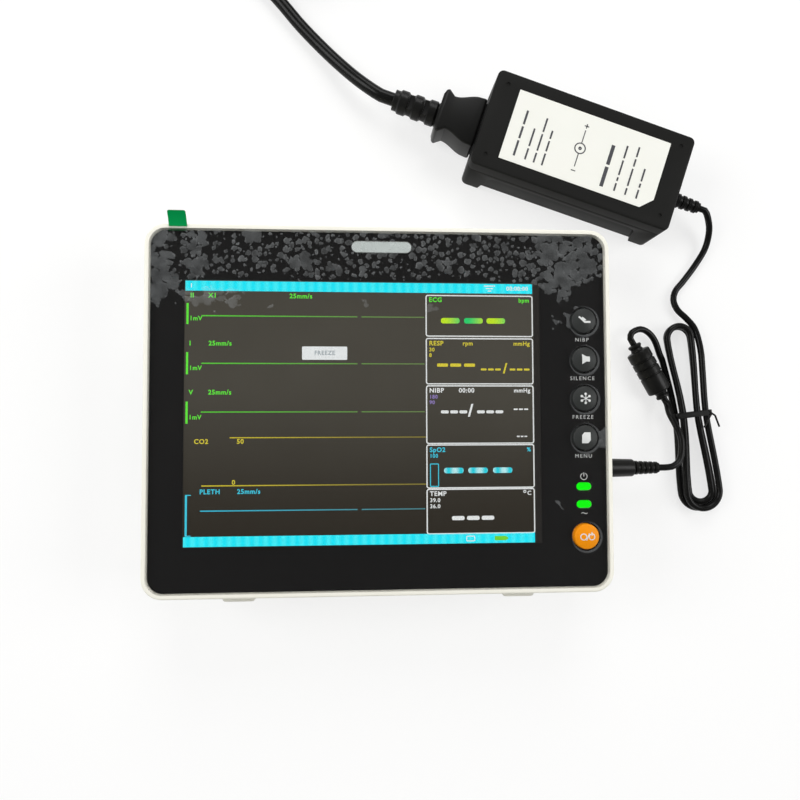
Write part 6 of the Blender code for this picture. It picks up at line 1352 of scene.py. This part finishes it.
# Gland: soft moulded vinyl in the end wall of the base.
# It has a flange inside and ribs that let the lead bend.
gland = turned([(5.2, -3.7), (5.2, -2.5), (4.0, -2.5), (4.0, 1.0)] + ribbed(1.5, 17.0, 4.0, 3.3, 5, 0.6))
put(gland, (ADAPTER_LENGTH / 2, 0, LEAD_HEIGHT), (1, 0, 0))
settle(lay(gland), "lead_gland", moulded_vinyl, "cord_vinyl", "adapter_gland")

# Coupler of the mains lead: vinyl moulded over the contacts, with a collar to grip it by, a drawn-in neck,
# a nose in the inlet and a slotted sleeve that lets the lead bend.
SLEEVE_LENGTH = 24.0
COUPLER_HEIGHT = 12.3
COUPLER_END = -76.5


def slotted_sleeve():
    """A strain relief along Z: a tapered sleeve with three rings, joined at two sides between slots."""
    rings = ribbed(0.4, SLEEVE_LENGTH - 0.4, 6.5, 6.2, 3, 0.9)
    piece = turned([(6.3, -1.0), (6.3, 0.4)] + rings, 48)
    for share in (0.28, 0.62):
        for side in (-1, 1):
            slot = block((7.6, 5, 2.4), (0, side * 6.2, share * SLEEVE_LENGTH), corner=0.3)
            combine(piece, "DIFFERENCE", slot)
    return piece


half_head = [(8.4, COUPLER_END), (11.6, -75.4), (11.6, -74.0)]
half_head += [(9.0 + 4.0 * soft_step(i / 12), -70.6 + 13.0 * i / 12) for i in range(13)]
half_head.append((13.3, -54.0))
head = [(x, half) for half, x in half_head] + [(x, -half) for half, x in half_head[::-1]]
coupler = soften(cut_out(head, 3.2, 21.4), 1.6, 5)
nose = block((17, 22.4, 14.6), (-46.8, 0, COUPLER_HEIGHT), corner=1)
sleeve = put(slotted_sleeve(), (COUPLER_END, 0, COUPLER_HEIGHT), (-1, 0, 0))
combine(coupler, "UNION", nose, sleeve)
settle(lay(coupler), "coupler", moulded_vinyl, "cord_vinyl", "mains_connector")

# Mains plug: vinyl moulded over two plated blades and an earth pin, with the same sleeve.
# It lies beside the coil.
PLUG_LENGTH = 34.0
PIN_LENGTH = 17
plug_place = coil_end + coil_tail * (END_GAP + SLEEVE_LENGTH)
plug_head = block((25, 20.6, PLUG_LENGTH), (0, 0, PLUG_LENGTH / 2), corner=5, top=1, low=4)
combine(plug_head, "UNION", put(slotted_sleeve(), (0, 0, 0), (0, 0, -1)))
put(plug_head, plug_place, coil_tail)
mains_plug = settle(plug_head, "mains_plug_body", moulded_vinyl, "cord_vinyl", "mains_plug")
blades = []
for x in (-6.35, 6.35):
    middle = (x, 4.5, PLUG_LENGTH + PIN_LENGTH / 2 - 1)
    blades.append(block((1.5, 6.3, PIN_LENGTH), middle, corner=0.3, top=0.5, steps=4))
blades.append(rod(2.4, (0, -7.4, PLUG_LENGTH - 1), (0, -7.4, PLUG_LENGTH + PIN_LENGTH), 24))
put(joined(blades), plug_place, coil_tail)
plug_pins = settle(blades[0], "mains_plug_pins", screw_steel, "screw_steel")

# Band round the coil.
COIL_TIE_ALONG = Vector((math.cos(COIL_TIE_ANGLE), math.sin(COIL_TIE_ANGLE), 0.0))
coil_band = band(14.35, 17.5, 6.0)
coil_band.rotation_euler = (math.radians(90), 0.0, COIL_TIE_ANGLE)
coil_band.location = (COIL_MIDDLE + COIL_TIE_ALONG * 38.05) * MM
settle(coil_band, "coil_band", moulded_vinyl, "cord_vinyl", "coil_tie")
